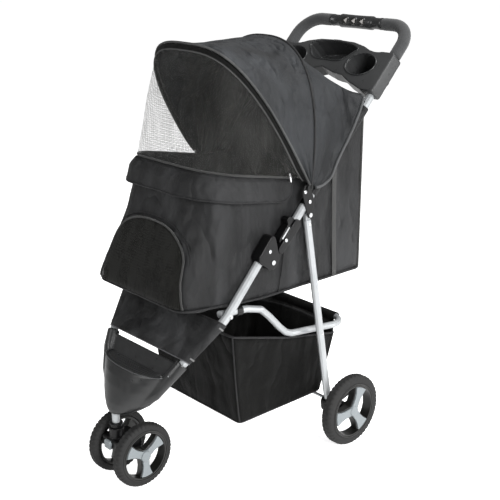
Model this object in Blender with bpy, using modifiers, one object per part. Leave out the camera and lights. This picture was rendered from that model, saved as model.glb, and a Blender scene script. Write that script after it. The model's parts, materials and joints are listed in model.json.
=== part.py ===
"""Three-wheeled folding pet stroller, in metres, +Z up, +Y towards the handle, front wheel pair at -Y.

The origin is on the floor, under the middle of the object's box. "left" is the +X side.
"""

import math

import bmesh
import bpy
from mathutils import Matrix, Vector

# ---- driving dimensions -------------------------------------------------------------------------------
GAP = 0.0003  # clearance between pieces that touch
TUBE_R = 0.0095  # handle and front leg tubes
LEG_R = 0.00875  # rear leg tubes
LINK_R = 0.008  # lower seat tube
WIRE_R = 0.0016  # canopy hoops

HANDLE_X = 0.169  # tube centres, each side of the middle plane
LINK_X = 0.148
LEG_TOP_X = 0.169
LEG_FOOT_X = 0.188
CABIN_HALF = 0.155
CANOPY_HALF = 0.1895

FOLD_PIVOT = Vector((0, -0.0632, 0.4915))  # handle to front legs
LEG_PIVOT = Vector((0, 0.0478, 0.5755))  # rear legs to handle
LINK_REAR_PIVOT = Vector((0, 0.0880, 0.2870))  # seat tube to rear legs
LINK_FRONT_PIVOT = Vector((0, -0.1780, 0.3950))  # seat tube to front legs
CANOPY_PIVOT = Vector((0, 0.040, 0.640))

HANDLE_START = Vector((0, 0.0366, 0.5921))
HANDLE_TILT = math.radians(46.4)
HANDLE_LENGTH = 0.5017  # from HANDLE_START to the crossbar's axis
HANDLE_CORNER_R = 0.055
HANDLE_TUBE_END = -0.092  # inside the hinge casing
FOAM_START = 0.412
FOAM_INNER_X = 0.0825

REAR_WHEEL = Vector((0.2225, 0.152, 0.0864))
REAR_R, REAR_RING_R, REAR_WIDTH = 0.0864, 0.0615, 0.028
FRONT_WHEEL = Vector((0.0462, -0.3245, 0.0734))
FRONT_R, FRONT_RING_R, FRONT_WIDTH = 0.0734, 0.0532, 0.026
CASTER_Y = -0.3585
AXLE_R = 0.004

CABIN_FLOOR_Z = 0.407
CABIN_REAR_Y = 0.244
CABIN_FRONT_Y = (-0.280, -0.272, -0.246, -0.222, -0.205)  # front face from the floor to the rim
CABIN_CORNER_R = (0.055, 0.085)  # front corners at the floor and at the rim
RIM_REAR_Z, RIM_FRONT_Z = 0.660, 0.700
RIM_START_Y = 0.010
CABIN_WALL = 0.003

HOOP_FRONT = (math.radians(31.0), 0.355, 3.1)  # lean forward of vertical, height and squareness of the arch
HOOP_MID = (math.radians(-7.5), 0.306, 2.5)
CANOPY_EDGE = (  # left half of the canopy's rear edge, from the pivot up the tube and over it
    (0.1885, 0.0560, 0.6370),
    (0.1865, 0.0780, 0.6385),
    (0.1840, 0.1050, 0.6500),
    (0.1830, 0.1200, 0.6720),
    (0.1830, 0.1360, 0.6970),
    (0.1830, 0.1720, 0.7470),
    (0.1830, 0.1960, 0.7900),
    (0.1770, 0.2110, 0.8150),
    (0.1550, 0.2120, 0.8190),
    (0.0800, 0.2090, 0.8200),
    (0.0000, 0.2070, 0.8200),
)

SIDES = (("left", 1), ("right", -1))

# ---- scene and materials ------------------------------------------------------------------------------
for old in list(bpy.data.objects):
    bpy.data.objects.remove(old, do_unlink=True)

PARTS = bpy.data.collections.new("pet_stroller")
CUTTERS = bpy.data.collections.new("cutters")
for collection in (PARTS, CUTTERS):
    bpy.context.scene.collection.children.link(collection)

COLOURS = {
    "silver_tube": ((0.62, 0.64, 0.65), 0.35, 0.9),
    "black_plastic": ((0.03, 0.03, 0.032), 0.5, 0.0),
    "grey_plastic": ((0.10, 0.105, 0.11), 0.4, 0.0),
    "foam": ((0.06, 0.06, 0.06), 0.9, 0.0),
    "fabric": ((0.045, 0.046, 0.05), 0.85, 0.0),
    "mat_fabric": ((0.05, 0.05, 0.052), 0.9, 0.0),
    "mesh": ((0.02, 0.02, 0.02), 0.8, 0.0),
    "tyre": ((0.03, 0.03, 0.03), 0.85, 0.0),
    "pale_trim": ((0.42, 0.47, 0.50), 0.4, 0.0),
    "steel": ((0.5, 0.5, 0.5), 0.3, 1.0),
    "board": ((0.05, 0.05, 0.05), 0.8, 0.0),
}


def material(name, slot):
    colour, roughness, metallic = COLOURS[slot]
    mat = bpy.data.materials.new(name + "_" + slot)
    mat.use_nodes = True
    shader = mat.node_tree.nodes["Principled BSDF"]
    shader.inputs["Base Color"].default_value = (*colour, 1)
    shader.inputs["Roughness"].default_value = roughness
    shader.inputs["Metallic"].default_value = metallic
    return mat


def place(obj, name, slot):
    """Names a finished sub-part, gives it its own material and files it with the parts."""
    obj.name = name
    obj.data.name = name
    obj.data.materials.clear()
    obj.data.materials.append(material(name, slot))
    for collection in list(obj.users_collection):
        collection.objects.unlink(obj)
    PARTS.objects.link(obj)
    if obj.type == "MESH":
        obj.data.shade_smooth()
        obj.data.set_sharp_from_angle(angle=math.radians(35))
    return obj


def as_cutter(obj):
    obj.hide_render = True
    obj.display_type = "WIRE"
    for collection in list(obj.users_collection):
        collection.objects.unlink(obj)
    CUTTERS.objects.link(obj)
    return obj


def boolean(obj, tool, operation="DIFFERENCE"):
    as_cutter(tool)
    modifier = obj.modifiers.new(operation.lower(), "BOOLEAN")
    modifier.object = tool
    modifier.operation = operation
    return obj


def pivot(name, point, parent=None):
    """An empty on a joint's axis, to which the moving pieces are parented."""
    empty = bpy.data.objects.new(name, None)
    empty.location = point if parent is None else point - parent.matrix_world.translation
    empty.parent = parent
    PARTS.objects.link(empty)
    bpy.context.view_layer.update()
    return empty


def attach(obj, parent):
    bpy.context.view_layer.update()
    obj.parent = parent
    obj.matrix_parent_inverse = parent.matrix_world.inverted()


# ---- shape helpers ------------------------------------------------------------------------------------
def mesh_object(bm, name="shape"):
    bmesh.ops.recalc_face_normals(bm, faces=bm.faces[:])
    mesh = bpy.data.meshes.new(name)
    bm.to_mesh(mesh)
    bm.free()
    obj = bpy.data.objects.new(name, mesh)
    PARTS.objects.link(obj)
    return obj


def curve_to_mesh(curve_obj):
    """Turns a curve into a closed mesh: its caps are loose, so their points are welded."""
    bpy.context.view_layer.update()
    graph = bpy.context.evaluated_depsgraph_get()
    mesh = bpy.data.meshes.new_from_object(curve_obj.evaluated_get(graph))
    bm = bmesh.new()
    bm.from_mesh(mesh)
    bmesh.ops.remove_doubles(bm, verts=bm.verts[:], dist=0.00002)
    bmesh.ops.recalc_face_normals(bm, faces=bm.faces[:])
    bm.to_mesh(mesh)
    bm.free()
    obj = bpy.data.objects.new(curve_obj.name, mesh)
    obj.matrix_world = curve_obj.matrix_world
    PARTS.objects.link(obj)
    bpy.data.objects.remove(curve_obj, do_unlink=True)
    return obj


def tube(points, radius, resolution=3, caps=True):
    """A round bar or tube along a list of points."""
    curve = bpy.data.curves.new("tube", "CURVE")
    curve.dimensions = "3D"
    curve.bevel_depth = radius
    curve.bevel_resolution = resolution
    curve.use_fill_caps = caps
    spline = curve.splines.new("POLY")
    spline.points.add(len(points) - 1)
    for slot, point in zip(spline.points, points):
        slot.co = (*point, 1)
    obj = bpy.data.objects.new("tube", curve)
    PARTS.objects.link(obj)
    return curve_to_mesh(obj)


def sleeve(points, inner, outer, resolution=3):
    """A hollow tube: an open skin at the inner radius, thickened outwards."""
    obj = tube(points, inner, resolution, caps=False)
    solid = obj.modifiers.new("wall", "SOLIDIFY")
    solid.thickness = outer - inner
    solid.offset = 1
    return obj


def plate(outline, x_low, x_high, bevel=0.0):
    """A flat plate with a (y, z) outline, between two planes across X."""
    bm = bmesh.new()
    face = bm.faces.new([bm.verts.new((x_low, y, z)) for y, z in outline])
    moved = bmesh.ops.extrude_face_region(bm, geom=[face])["geom"]
    bmesh.ops.translate(
        bm,
        verts=[item for item in moved if isinstance(item, bmesh.types.BMVert)],
        vec=(x_high - x_low, 0, 0),
    )
    obj = mesh_object(bm)
    if bevel:
        edge = obj.modifiers.new("edge", "BEVEL")
        edge.width = bevel
        edge.segments = 2
        edge.limit_method = "ANGLE"
        edge.angle_limit = math.radians(50)
    return obj


def slab(outline, frame, low, high):
    """An outline in a frame's first two directions, thickened along its third."""
    origin, first, second, third = frame
    bm = bmesh.new()
    corners = [origin + first * u + second * v + third * low for u, v in outline]
    face = bm.faces.new([bm.verts.new(c) for c in corners])
    moved = bmesh.ops.extrude_face_region(bm, geom=[face])["geom"]
    bmesh.ops.translate(
        bm,
        verts=[item for item in moved if isinstance(item, bmesh.types.BMVert)],
        vec=third * (high - low),
    )
    return mesh_object(bm)


def cylinder(centre, radius, length, axis="X", segments=20):
    bm = bmesh.new()
    turn = {
        "X": Matrix.Rotation(math.pi / 2, 4, "Y"),
        "Y": Matrix.Rotation(math.pi / 2, 4, "X"),
        "Z": Matrix.Identity(4),
    }[axis]
    bmesh.ops.create_cone(
        bm,
        cap_ends=True,
        segments=segments,
        radius1=radius,
        radius2=radius,
        depth=length,
        matrix=Matrix.Translation(centre) @ turn,
    )
    return mesh_object(bm)


def block(low, high, bevel=0.0):
    bm = bmesh.new()
    size = Vector(high) - Vector(low)
    middle = (Vector(high) + Vector(low)) / 2
    bmesh.ops.create_cube(bm, size=1, matrix=Matrix.Translation(middle) @ Matrix.Diagonal((*size, 1)))
    obj = mesh_object(bm)
    if bevel:
        edge = obj.modifiers.new("edge", "BEVEL")
        edge.width = bevel
        edge.segments = 2
    return obj


def turned(profile, centre, segments=32):
    """A closed (x, r) profile swept round an axis along X through centre."""
    bm = bmesh.new()
    rings = []
    for step in range(segments):
        angle = 2 * math.pi * step / segments
        rings.append(
            [
                bm.verts.new(
                    (centre[0] + x, centre[1] + r * math.cos(angle), centre[2] + r * math.sin(angle))
                )
                for x, r in profile
            ]
        )
    loft_rings(bm, rings, closed=True)
    return mesh_object(bm)


def loft_rings(bm, rings, closed=False):
    """Joins neighbouring rings of the same count with quads."""
    count = len(rings[0])
    pairs = list(zip(rings, rings[1:])) + ([(rings[-1], rings[0])] if closed else [])
    for a, b in pairs:
        for i in range(count):
            j = (i + 1) % count
            bm.faces.new((a[i], a[j], b[j], b[i]))


def skin(grid, thickness, offset=1):
    """An open sheet through a grid of points, thickened to one side."""
    bm = bmesh.new()
    rows = [[bm.verts.new(p) for p in row] for row in grid]
    for a, b in zip(rows, rows[1:]):
        for i in range(len(a) - 1):
            bm.faces.new((a[i], a[i + 1], b[i + 1], b[i]))
    obj = mesh_object(bm)
    solid = obj.modifiers.new("cloth", "SOLIDIFY")
    solid.thickness = thickness
    solid.offset = offset
    return obj


def arc(centre, radius, start, end, steps):
    """Points of a plane arc, angles in degrees."""
    return [
        (
            centre[0] + radius * math.cos(math.radians(start + (end - start) * i / steps)),
            centre[1] + radius * math.sin(math.radians(start + (end - start) * i / steps)),
        )
        for i in range(steps + 1)
    ]


def hull_outline(circles, steps=6):
    """The outline of a rubber band round (y, z, radius) circles given anticlockwise."""
    points = []
    count = len(circles)
    for i, (y, z, r) in enumerate(circles):
        before, after = circles[i - 1], circles[(i + 1) % count]

        def normal(a, b):
            direction = math.atan2(b[1] - a[1], b[0] - a[0])
            distance = math.hypot(b[0] - a[0], b[1] - a[1])
            return direction - math.pi / 2 - math.asin((b[2] - a[2]) / distance)

        start, end = normal(before, circles[i]), normal(circles[i], after)
        while end < start:
            end += 2 * math.pi
        for k in range(steps + 1):
            angle = start + (end - start) * k / steps
            points.append((y + r * math.cos(angle), z + r * math.sin(angle)))
    return points


def sample(values, t):
    """A value read off evenly spaced ones, t from 0 to 1."""
    place_in = min(max(t, 0.0), 1.0) * (len(values) - 1)
    i = min(int(place_in), len(values) - 2)
    return values[i] + (values[i + 1] - values[i]) * (place_in - i)


def at(x, point):
    """A pivot's point moved sideways to x."""
    return Vector((x, point[1], point[2]))


# ---- handle -------------------------------------------------------------------------------------------
ALONG = Vector((0, math.cos(HANDLE_TILT), math.sin(HANDLE_TILT)))
UP = Vector((0, -math.sin(HANDLE_TILT), math.cos(HANDLE_TILT)))
ACROSS = Vector((1, 0, 0))


def on_handle(x, s, n=0.0):
    """A point at x, s along the handle tubes and n above their axis."""
    return Vector((x, 0, 0)) + HANDLE_START + ALONG * s + UP * n


def handle_path(side, start, end_x):
    """The tube's axis on one side, from s = start round the corner to x = end_x."""
    r = HANDLE_CORNER_R
    corner = arc((HANDLE_X - r, HANDLE_LENGTH - r), r, 0, 90, 8)
    line = [(HANDLE_X, start), *corner, (end_x, HANDLE_LENGTH)]
    return [on_handle(side * x, s) for x, s in line]


def build_handle():
    left = handle_path(1, HANDLE_TUBE_END, 0.0)
    right = handle_path(-1, HANDLE_TUBE_END, 0.0)
    place(tube(left[:-1] + right[-2::-1], TUBE_R, 3), "handle_tube", "silver_tube")
    for name, side in SIDES:
        path = handle_path(side, FOAM_START, FOAM_INNER_X)
        place(sleeve(path, TUBE_R + GAP, 0.0145), "foam_grip_" + name, "foam")
    bore = TUBE_R + GAP
    profile = [(-0.082, bore), (-0.082, 0.0135), (-0.0505, 0.0135), (-0.0495, 0.0162)]
    profile += [(-x, r) for x, r in reversed(profile)]
    grip = on_handle(0, HANDLE_LENGTH)
    place(turned(profile, grip, 16), "centre_grip", "grey_plastic")


def tray_outline():
    """Half outline (x, s) of the tray from its front middle round the end pod to its back middle."""
    front = [(0.0, 0.350), (0.040, 0.338), (0.072, 0.334), (0.100, 0.320), (0.135, 0.308), (0.150, 0.303)]
    pod = [(0.184, 0.303), (0.186, 0.307), (0.186, 0.405), (0.184, 0.4095)]
    back = [(0.150, 0.4095), (0.132, 0.407), (0.112, 0.410), (0.090, 0.419), (0.055, 0.427), (0.0, 0.430)]
    return front + pod + back


def build_tray():
    frame = (HANDLE_START, ACROSS, ALONG, UP)
    half = tray_outline()
    full = half + [(-x, s) for x, s in reversed(half[1:-1])]
    tray = slab(full, frame, -0.0125, 0.023)
    cup = (0.110, 0.3685)

    def oval(cx, cs, rx, rs, count=20):
        turn = [2 * math.pi * k / count for k in range(count)]
        return [(cx + rx * math.cos(a), cs + rs * math.sin(a)) for a in turn]

    kidney = [(0.0, 0.3705), (0.030, 0.3705), (0.050, 0.378), (0.066, 0.396), (0.076, 0.408)]
    kidney += [(0.060, 0.4165), (0.030, 0.4215), (0.0, 0.423)]
    kidney += [(-x, s) for x, s in reversed(kidney[1:-1])]
    for side in (1, -1):
        boolean(tray, slab(oval(side * cup[0], cup[1], 0.046, 0.033), frame, -0.045, 0.010), "UNION")
    wide = [(x * 1.06, s + (0.003 if s > 0.40 else -0.004)) for x, s in kidney]
    boolean(tray, slab(wide, frame, -0.032, 0.008), "UNION")
    for side in (1, -1):
        boolean(tray, slab(oval(side * cup[0], cup[1], 0.042, 0.0295), frame, -0.0425, 0.04))
        channel = tube([on_handle(side * HANDLE_X, 0.28), on_handle(side * HANDLE_X, 0.43)], TUBE_R + GAP, 8)
        boolean(tray, channel)
    boolean(tray, slab(kidney, frame, -0.0295, 0.04))
    place(tray, "parent_tray", "grey_plastic")


def in_handle_frame(circles):
    """(s, n, radius) circles as (y, z, radius) ones."""
    points = [(on_handle(0, s, n), r) for s, n, r in circles]
    return [(p.y, p.z, r) for p, r in points]


def build_leg_bracket(name, side):
    """Outer cheek with three fixing points, a clamp band round the tube and the canopy's stud."""
    stud, low = CANOPY_PIVOT, LEG_PIVOT
    circles = [(low.y, low.z, 0.0075), (0.0510, 0.6040, 0.0090)]
    circles += [(stud.y, stud.z, 0.0085), (0.0320, 0.6280, 0.0085)]
    inner = HANDLE_X + TUBE_R + 0.0004
    cheek = plate(hull_outline(circles), *sorted((side * inner, side * (inner + 0.0028))))
    band = tube([on_handle(side * HANDLE_X, 0.0045), on_handle(side * HANDLE_X, 0.026)], 0.0122, 3)
    boolean(cheek, band, "UNION")
    pin = cylinder(at(side * (inner + 0.0055), stud), 0.003, 0.0090, segments=12)
    boolean(cheek, pin, "UNION")
    bore = tube([on_handle(side * HANDLE_X, -0.01), on_handle(side * HANDLE_X, 0.05)], TUBE_R + GAP, 8)
    boolean(cheek, bore)
    boolean(cheek, cylinder(at(side * inner, low), 0.0030 + GAP, 0.02, segments=12))
    place(cheek, "leg_bracket_" + name, "black_plastic")
    head = cylinder(at(side * (inner + 0.0040), low), 0.0050, 0.0018, segments=12)
    shank = cylinder(at(side * (inner - 0.0030), low), 0.0030, 0.0140, segments=12)
    place(boolean(head, shank, "UNION"), "leg_pivot_pin_" + name, "steel")


def build_hinge(name, side):
    """The casing on the handle's end, the housing on the front leg's end and the pin they turn on."""
    a = FOLD_PIVOT
    pin_r = 0.0030
    across = sorted((side * (HANDLE_X - 0.0125), side * (HANDLE_X + 0.0140)))
    tongue_x = sorted((side * (HANDLE_X - 0.0040), side * (HANDLE_X + 0.0040)))
    slot_x = sorted((side * (HANDLE_X - 0.0046), side * (HANDLE_X + 0.0046)))

    ends = in_handle_frame([(-0.1080, 0.0, 0.0090), (-0.0420, 0.0, 0.0118)])
    casing = plate(hull_outline(ends), *across, bevel=0.0015)
    tongue = plate(hull_outline([(a.y, a.z, 0.0100), in_handle_frame([(-0.1000, 0.0, 0.0095)])[0]]), *tongue_x)
    boolean(casing, tongue, "UNION")
    bore = tube([on_handle(side * HANDLE_X, HANDLE_TUBE_END - GAP), on_handle(side * HANDLE_X, 0.0)], TUBE_R + GAP, 8)
    boolean(casing, bore)
    boolean(casing, cylinder(at(side * HANDLE_X, a), pin_r + GAP, 0.05, segments=16))
    place(casing, "hinge_casing_" + name, "black_plastic")

    circles = [(-0.1500, 0.0320, 0.0130), (-0.1450, 0.0030, 0.0145)]
    circles += [(-0.1290, -0.0010, 0.0080), (-0.1060, 0.0380, 0.0090)]
    housing = plate(hull_outline(in_handle_frame(circles)), *across, bevel=0.0015)
    fan = [(a.y, a.z, 0.0118)]
    for angle in (-82, -18, 52):
        turn = math.radians(angle)
        fan.append((a.y + 0.060 * math.cos(turn), a.z + 0.060 * math.sin(turn), 0.0110))
    boolean(housing, plate(hull_outline(fan), *slot_x))
    boolean(housing, tube(front_leg_points(side)[:2], TUBE_R + GAP, 8))
    boolean(housing, cylinder(at(side * HANDLE_X, a), pin_r + GAP, 0.05, segments=16))
    place(housing, "hinge_housing_" + name, "black_plastic")
    pin = cylinder(at(side * (HANDLE_X + 0.0010), a), pin_r, 0.0280, segments=16)
    head = cylinder(at(side * (HANDLE_X + 0.0152), a), 0.0052, 0.0016, segments=16)
    place(boolean(pin, head, "UNION"), "fold_pin_" + name, "steel")


def build_lock_slider(name, side):
    """A latch on the casing's front that slides up along the handle tube to free the hinge."""
    profile = [(-0.0980, 0.0124), (-0.0360, 0.0124), (-0.0360, 0.0200), (-0.0420, 0.0300), (-0.0500, 0.0300)]
    profile += [(-0.0560, 0.0200), (-0.0900, 0.0190), (-0.0980, 0.0160)]
    outline = [(p.y, p.z) for p in (on_handle(0, s, n) for s, n in profile)]
    latch = plate(outline, *sorted((side * (HANDLE_X - 0.0085), side * (HANDLE_X + 0.0105))), bevel=0.001)
    place(latch, "lock_slider_" + name, "black_plastic")


# ---- front frame --------------------------------------------------------------------------------------
def front_leg_points(side):
    """Top of the leg tube inside the hinge, its bend, and its foot inside the footrest's arm."""
    straight = [(HANDLE_X, -0.0660, 0.5248), (HANDLE_X, -0.1300, 0.4534), (HANDLE_X, -0.1790, 0.3986)]
    bend = [(0.1672, -0.1890, 0.3872), (0.1625, -0.1985, 0.3766)]
    foot = [(0.1136, -0.2943, 0.2715)]
    return [Vector((side * x, y, z)) for x, y, z in straight + bend + foot]


def build_front_leg(name, side):
    points = front_leg_points(side)
    leg = tube(points, TUBE_R, 3)
    place(leg, "front_leg_" + name, "silver_tube")


SHELL_ROWS = (  # (z, half width, front y, middle y, back y) of the footrest's bowl
    (0.1740, 0.020, -0.3780, -0.3560, -0.3360),
    (0.1850, 0.036, -0.3830, -0.3500, -0.3180),
    (0.2050, 0.054, -0.3860, -0.3380, -0.3000),
    (0.2300, 0.068, -0.3870, -0.3220, -0.2840),
    (0.2520, 0.078, -0.3860, -0.3060, -0.2720),
    (0.2660, 0.082, -0.3840, -0.3000, -0.2660),
)


def shell_ring(row, count=28):
    z, half, front, middle, back = row
    ring = []
    for k in range(count):
        angle = 2 * math.pi * k / count
        s = math.sin(angle)
        depth = middle - front if s < 0 else back - middle
        ring.append(Vector((half * math.cos(angle), middle + depth * s, z)))
    return ring


def build_footrest():
    """A deep bowl with a closed top deck, a plate behind it and an arm up to each front leg."""
    bm = bmesh.new()
    rings = [[bm.verts.new(p) for p in shell_ring(row)] for row in SHELL_ROWS]
    loft_rings(bm, rings)
    bm.faces.new(rings[0])
    bm.faces.new(rings[-1])
    shell = mesh_object(bm)
    foot = front_leg_points(1)[-1]
    rise = (front_leg_points(1)[-2] - foot).normalized()
    keel = [Vector((0.020, -0.352, 0.188)), Vector((0.060, -0.343, 0.207)), Vector((0.090, -0.328, 0.232))]
    keel += [foot, foot + rise * 0.039]
    in_plane = Vector((0, rise.y, rise.z)).normalized()
    back = (Vector((0, foot.y, foot.z)), Vector((1, 0, 0)), in_plane, in_plane.cross(Vector((1, 0, 0))))
    panel = [(-0.100, -0.012), (0.100, -0.012), (0.114, 0.033), (-0.114, 0.033)]
    boolean(shell, slab(panel, back, -0.002, 0.002), "UNION")
    for side in (1, -1):
        boolean(shell, tube([Vector((side * p.x, p.y, p.z)) for p in keel], 0.0145, 3), "UNION")
    for side in (1, -1):
        socket = [foot - rise * GAP, foot + rise * 0.08]
        boolean(shell, tube([Vector((side * p.x, p.y, p.z)) for p in socket], TUBE_R + GAP, 8))
    boolean(shell, cylinder((0, CASTER_Y, 0.172), 0.0085 + GAP, 0.050, "Z"))
    place(shell, "footrest_shell", "black_plastic")
    front = [(0.92 * x, -0.300 + 0.90 * (y + 0.300)) for x, y in arc((0, -0.300), 0.080, 200, 340, 14)]
    behind = [(x, -0.318 - 0.010 * math.cos(x / 0.066 * math.pi / 2)) for x in (0.066, 0.033, 0, -0.033, -0.066)]
    deck = (Vector((0, 0, SHELL_ROWS[-1][0])), Vector((1, 0, 0)), Vector((0, 1, 0)), Vector((0, 0, 1)))
    place(slab(front + behind, deck, GAP, 0.004), "footrest_tread", "black_plastic")


def build_calf_panel():
    """Cloth stretched across the front legs, in front of the tubes."""
    grid = []
    points = front_leg_points(1)
    top, foot = points[4], points[5]
    down = (foot - top).normalized()
    ahead = Vector((0, down.z, -down.y)).normalized()
    if ahead.y > 0:
        ahead = -ahead
    start, end = top + down * 0.012, foot - down * 0.047
    for k in range(5):
        centre = start.lerp(end, k / 4)
        row = []
        for j in range(9):
            u = 2 * j / 8 - 1
            row.append(Vector((centre.x * u, centre.y, centre.z)) + ahead * (TUBE_R + 0.0012))
        grid.append(row)
    place(skin(grid, 0.0015, 0), "calf_panel", "fabric")


# ---- caster and wheels --------------------------------------------------------------------------------
def build_wheel(label, centre, radius, ring, width, out, phase):
    """Tyre, moulded rim with three forked spokes, and a pale trim on the spokes' outer face."""
    half = width / 2
    c = (centre.x, centre.y, centre.z)
    tyre = [(-half, ring + 0.004), (-half, radius - 0.010), (-half * 0.72, radius - 0.0025), (-half * 0.3, radius)]
    tyre += [(-x, r) for x, r in reversed(tyre)]
    place(turned(tyre, c, 36), label + "_tyre", "tyre")
    inner = ring - 0.004
    seat = ring + 0.004 - GAP
    hoop = [(-half * 0.9, inner), (-half * 0.9, seat), (half * 0.9, seat), (half * 0.9, inner)]
    rim = turned(hoop, c, 36)
    boolean(rim, cylinder(c, 0.0165, width * 0.98, segments=20), "UNION")
    trim_parts = []
    for k in range(3):
        angle = math.radians(phase + 120 * k)
        d = Vector((0, math.cos(angle), math.sin(angle)))
        w = Vector((0, -math.sin(angle), math.cos(angle)))

        def fan(reach, near, far):
            return [
                (p.y, p.z)
                for p in (
                    Vector(c) + w * near,
                    Vector(c) + d * reach * 0.45 + w * near * 0.9,
                    Vector(c) + d * reach + w * far,
                    Vector(c) + d * reach - w * far,
                    Vector(c) + d * reach * 0.45 - w * near * 0.9,
                    Vector(c) - w * near,
                )
            ]

        spoke = plate(fan(inner + 0.001, 0.0125, 0.0215 * ring / 0.0615), centre.x - half * 0.55, centre.x + half * 0.60)
        boolean(rim, spoke, "UNION")
        trim_parts.append(fan(inner - 0.0015, 0.0105, 0.0190 * ring / 0.0615))
    boolean(rim, cylinder(c, AXLE_R + GAP, width * 2, segments=16))
    place(rim, label + "_rim", "black_plastic")
    face = sorted((centre.x + out * (half * 0.98 + GAP), centre.x + out * (half * 0.98 + 0.0016)))
    trim = cylinder((sum(face) / 2, c[1], c[2]), 0.0150, face[1] - face[0], segments=24)
    for outline in trim_parts:
        boolean(trim, plate(outline, *face), "UNION")
    place(trim, label + "_trim", "pale_trim")


def build_caster():
    top = cylinder((0, CASTER_Y, 0.1225), 0.0165, 0.026, "Z", 24)
    bridge = block((-0.0300, CASTER_Y - 0.020, 0.088), (0.0300, FRONT_WHEEL.y + 0.014, 0.112), 0.004)
    fork = bridge
    boolean(fork, top, "UNION")
    boss = cylinder((0, FRONT_WHEEL.y, FRONT_WHEEL.z), 0.013, 0.060)
    web = plate(
        hull_outline([(FRONT_WHEEL.y, FRONT_WHEEL.z, 0.012), (FRONT_WHEEL.y, 0.095, 0.012), (CASTER_Y, 0.098, 0.015)]),
        -0.0295,
        0.0295,
    )
    boolean(fork, web, "UNION")
    boolean(fork, boss, "UNION")
    boolean(fork, cylinder((0, FRONT_WHEEL.y, FRONT_WHEEL.z), AXLE_R + GAP, 0.2, segments=16))
    boolean(fork, cylinder((0, CASTER_Y, 0.125), 0.0085 + GAP, 0.044, "Z"))
    place(fork, "caster_fork", "black_plastic")
    stem = cylinder((0, CASTER_Y, 0.1500), 0.0085, 0.090, "Z")
    place(stem, "caster_stem", "silver_tube")
    axle = cylinder((0, FRONT_WHEEL.y, FRONT_WHEEL.z), AXLE_R, 2 * (FRONT_WHEEL.x + FRONT_WIDTH / 2 - 0.002), segments=16)
    place(axle, "caster_axle", "steel")
    tab_frame = (Vector((0, CASTER_Y - 0.0203, 0.0995)), Vector((1, 0, 0)), Vector((0, 0, 1)), Vector((0, -1, 0)))
    tab = [(-0.010, -0.009), (0.010, -0.009), (0.012, 0.004), (0.008, 0.010), (-0.008, 0.010), (-0.012, 0.004)]
    place(slab(tab, tab_frame, 0.0, 0.006), "swivel_lock", "pale_trim")


# ---- rear frame ---------------------------------------------------------------------------------------
LEG_FOOT = Vector((LEG_FOOT_X, 0.1130, 0.1080))


def leg_at(z):
    t = (LEG_PIVOT.z - z) / (LEG_PIVOT.z - LEG_FOOT.z)
    return at(LEG_TOP_X, LEG_PIVOT).lerp(LEG_FOOT, t)


def build_rear_leg(name, side):
    top, foot = leg_at(LEG_PIVOT.z - 0.014), leg_at(0.110)
    leg = tube([Vector((side * p.x, p.y, p.z)) for p in (top, leg_at(0.33), foot)], LEG_R, 3)
    tongue_foot = leg_at(LEG_PIVOT.z - 0.026)
    eye = hull_outline([(tongue_foot.y, tongue_foot.z, 0.0065), (LEG_PIVOT.y, LEG_PIVOT.z, 0.0065)])
    boolean(leg, plate(eye, *sorted((side * (LEG_TOP_X - 0.004), side * (LEG_TOP_X + 0.004)))), "UNION")
    boolean(leg, cylinder(at(side * LEG_TOP_X, LEG_PIVOT), 0.0030 + GAP, 0.05, segments=12))
    place(leg, "rear_leg_" + name, "silver_tube")

    axle = REAR_WHEEL
    shoe_outline = hull_outline(
        [(axle.y, axle.z, 0.0115), (LEG_FOOT.y - 0.002, 0.108, 0.0118), (LEG_FOOT.y - 0.001, 0.094, 0.0115)]
    )
    low, high = sorted((side * 0.1760, side * 0.2000))
    shoe = plate(shoe_outline, low, high, bevel=0.002)
    boss_x = (0.2000 + 0.2075) / 2
    boolean(shoe, cylinder((side * boss_x, axle.y, axle.z), 0.010, 0.0095, segments=20), "UNION")
    socket_ends = (leg_at(0.20), leg_at(0.110 - GAP))
    socket = tube([Vector((side * p.x, p.y, p.z)) for p in socket_ends], LEG_R + GAP, 8)
    boolean(shoe, socket)
    boolean(shoe, cylinder((side * 0.19, axle.y, axle.z), AXLE_R + GAP, 0.08, segments=16))
    place(shoe, "axle_shoe_" + name, "black_plastic")


def build_rear_axle():
    half = REAR_WHEEL.x + REAR_WIDTH / 2 - 0.002
    place(cylinder((0, REAR_WHEEL.y, REAR_WHEEL.z), AXLE_R, 2 * half, segments=16), "rear_axle", "steel")


def build_brake_pedal(name, side):
    """A foot lever behind each wheel shoe, turning on the axle."""
    a = REAR_WHEEL
    x_low, x_high = sorted((side * 0.1480, side * 0.1755))
    arm = plate(hull_outline([(a.y, a.z, 0.0100), (a.y + 0.052, a.z + 0.010, 0.0060)]), x_low, x_high, bevel=0.001)
    boolean(arm, cylinder((side * 0.16, a.y, a.z), AXLE_R + GAP, 0.08, segments=16))
    place(arm, "brake_pedal_" + name, "black_plastic")


# ---- lower seat tube and basket -----------------------------------------------------------------------
LINK_CORNER_Y, LINK_END_Y = 0.166, 0.216
LINK_REAR_Z = 0.2715


def link_half():
    """The left side of the lower seat tube, from the front pivot to the middle of its rear bar."""
    profile = [(-0.1860, 0.3950), (-0.1089, 0.3880), (-0.0670, 0.3755), (-0.0430, 0.3535)]
    profile += [(-0.0100, 0.3180), (0.0090, 0.3010), (0.0270, 0.2928), (0.0480, 0.2900), (LINK_CORNER_Y, 0.2790)]
    side = [(LINK_X, y, z) for y, z in profile]
    r = LINK_END_Y - LINK_CORNER_Y
    corner = enumerate(arc((0, 0), r, 0, 90, 6))
    bend = [(LINK_X - r + x, LINK_CORNER_Y + y, LINK_REAR_Z + 0.004 * (1 - k / 6)) for k, (x, y) in corner]
    return [Vector(p) for p in side[:-1] + bend + [(0, LINK_END_Y, LINK_REAR_Z)]]


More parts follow.
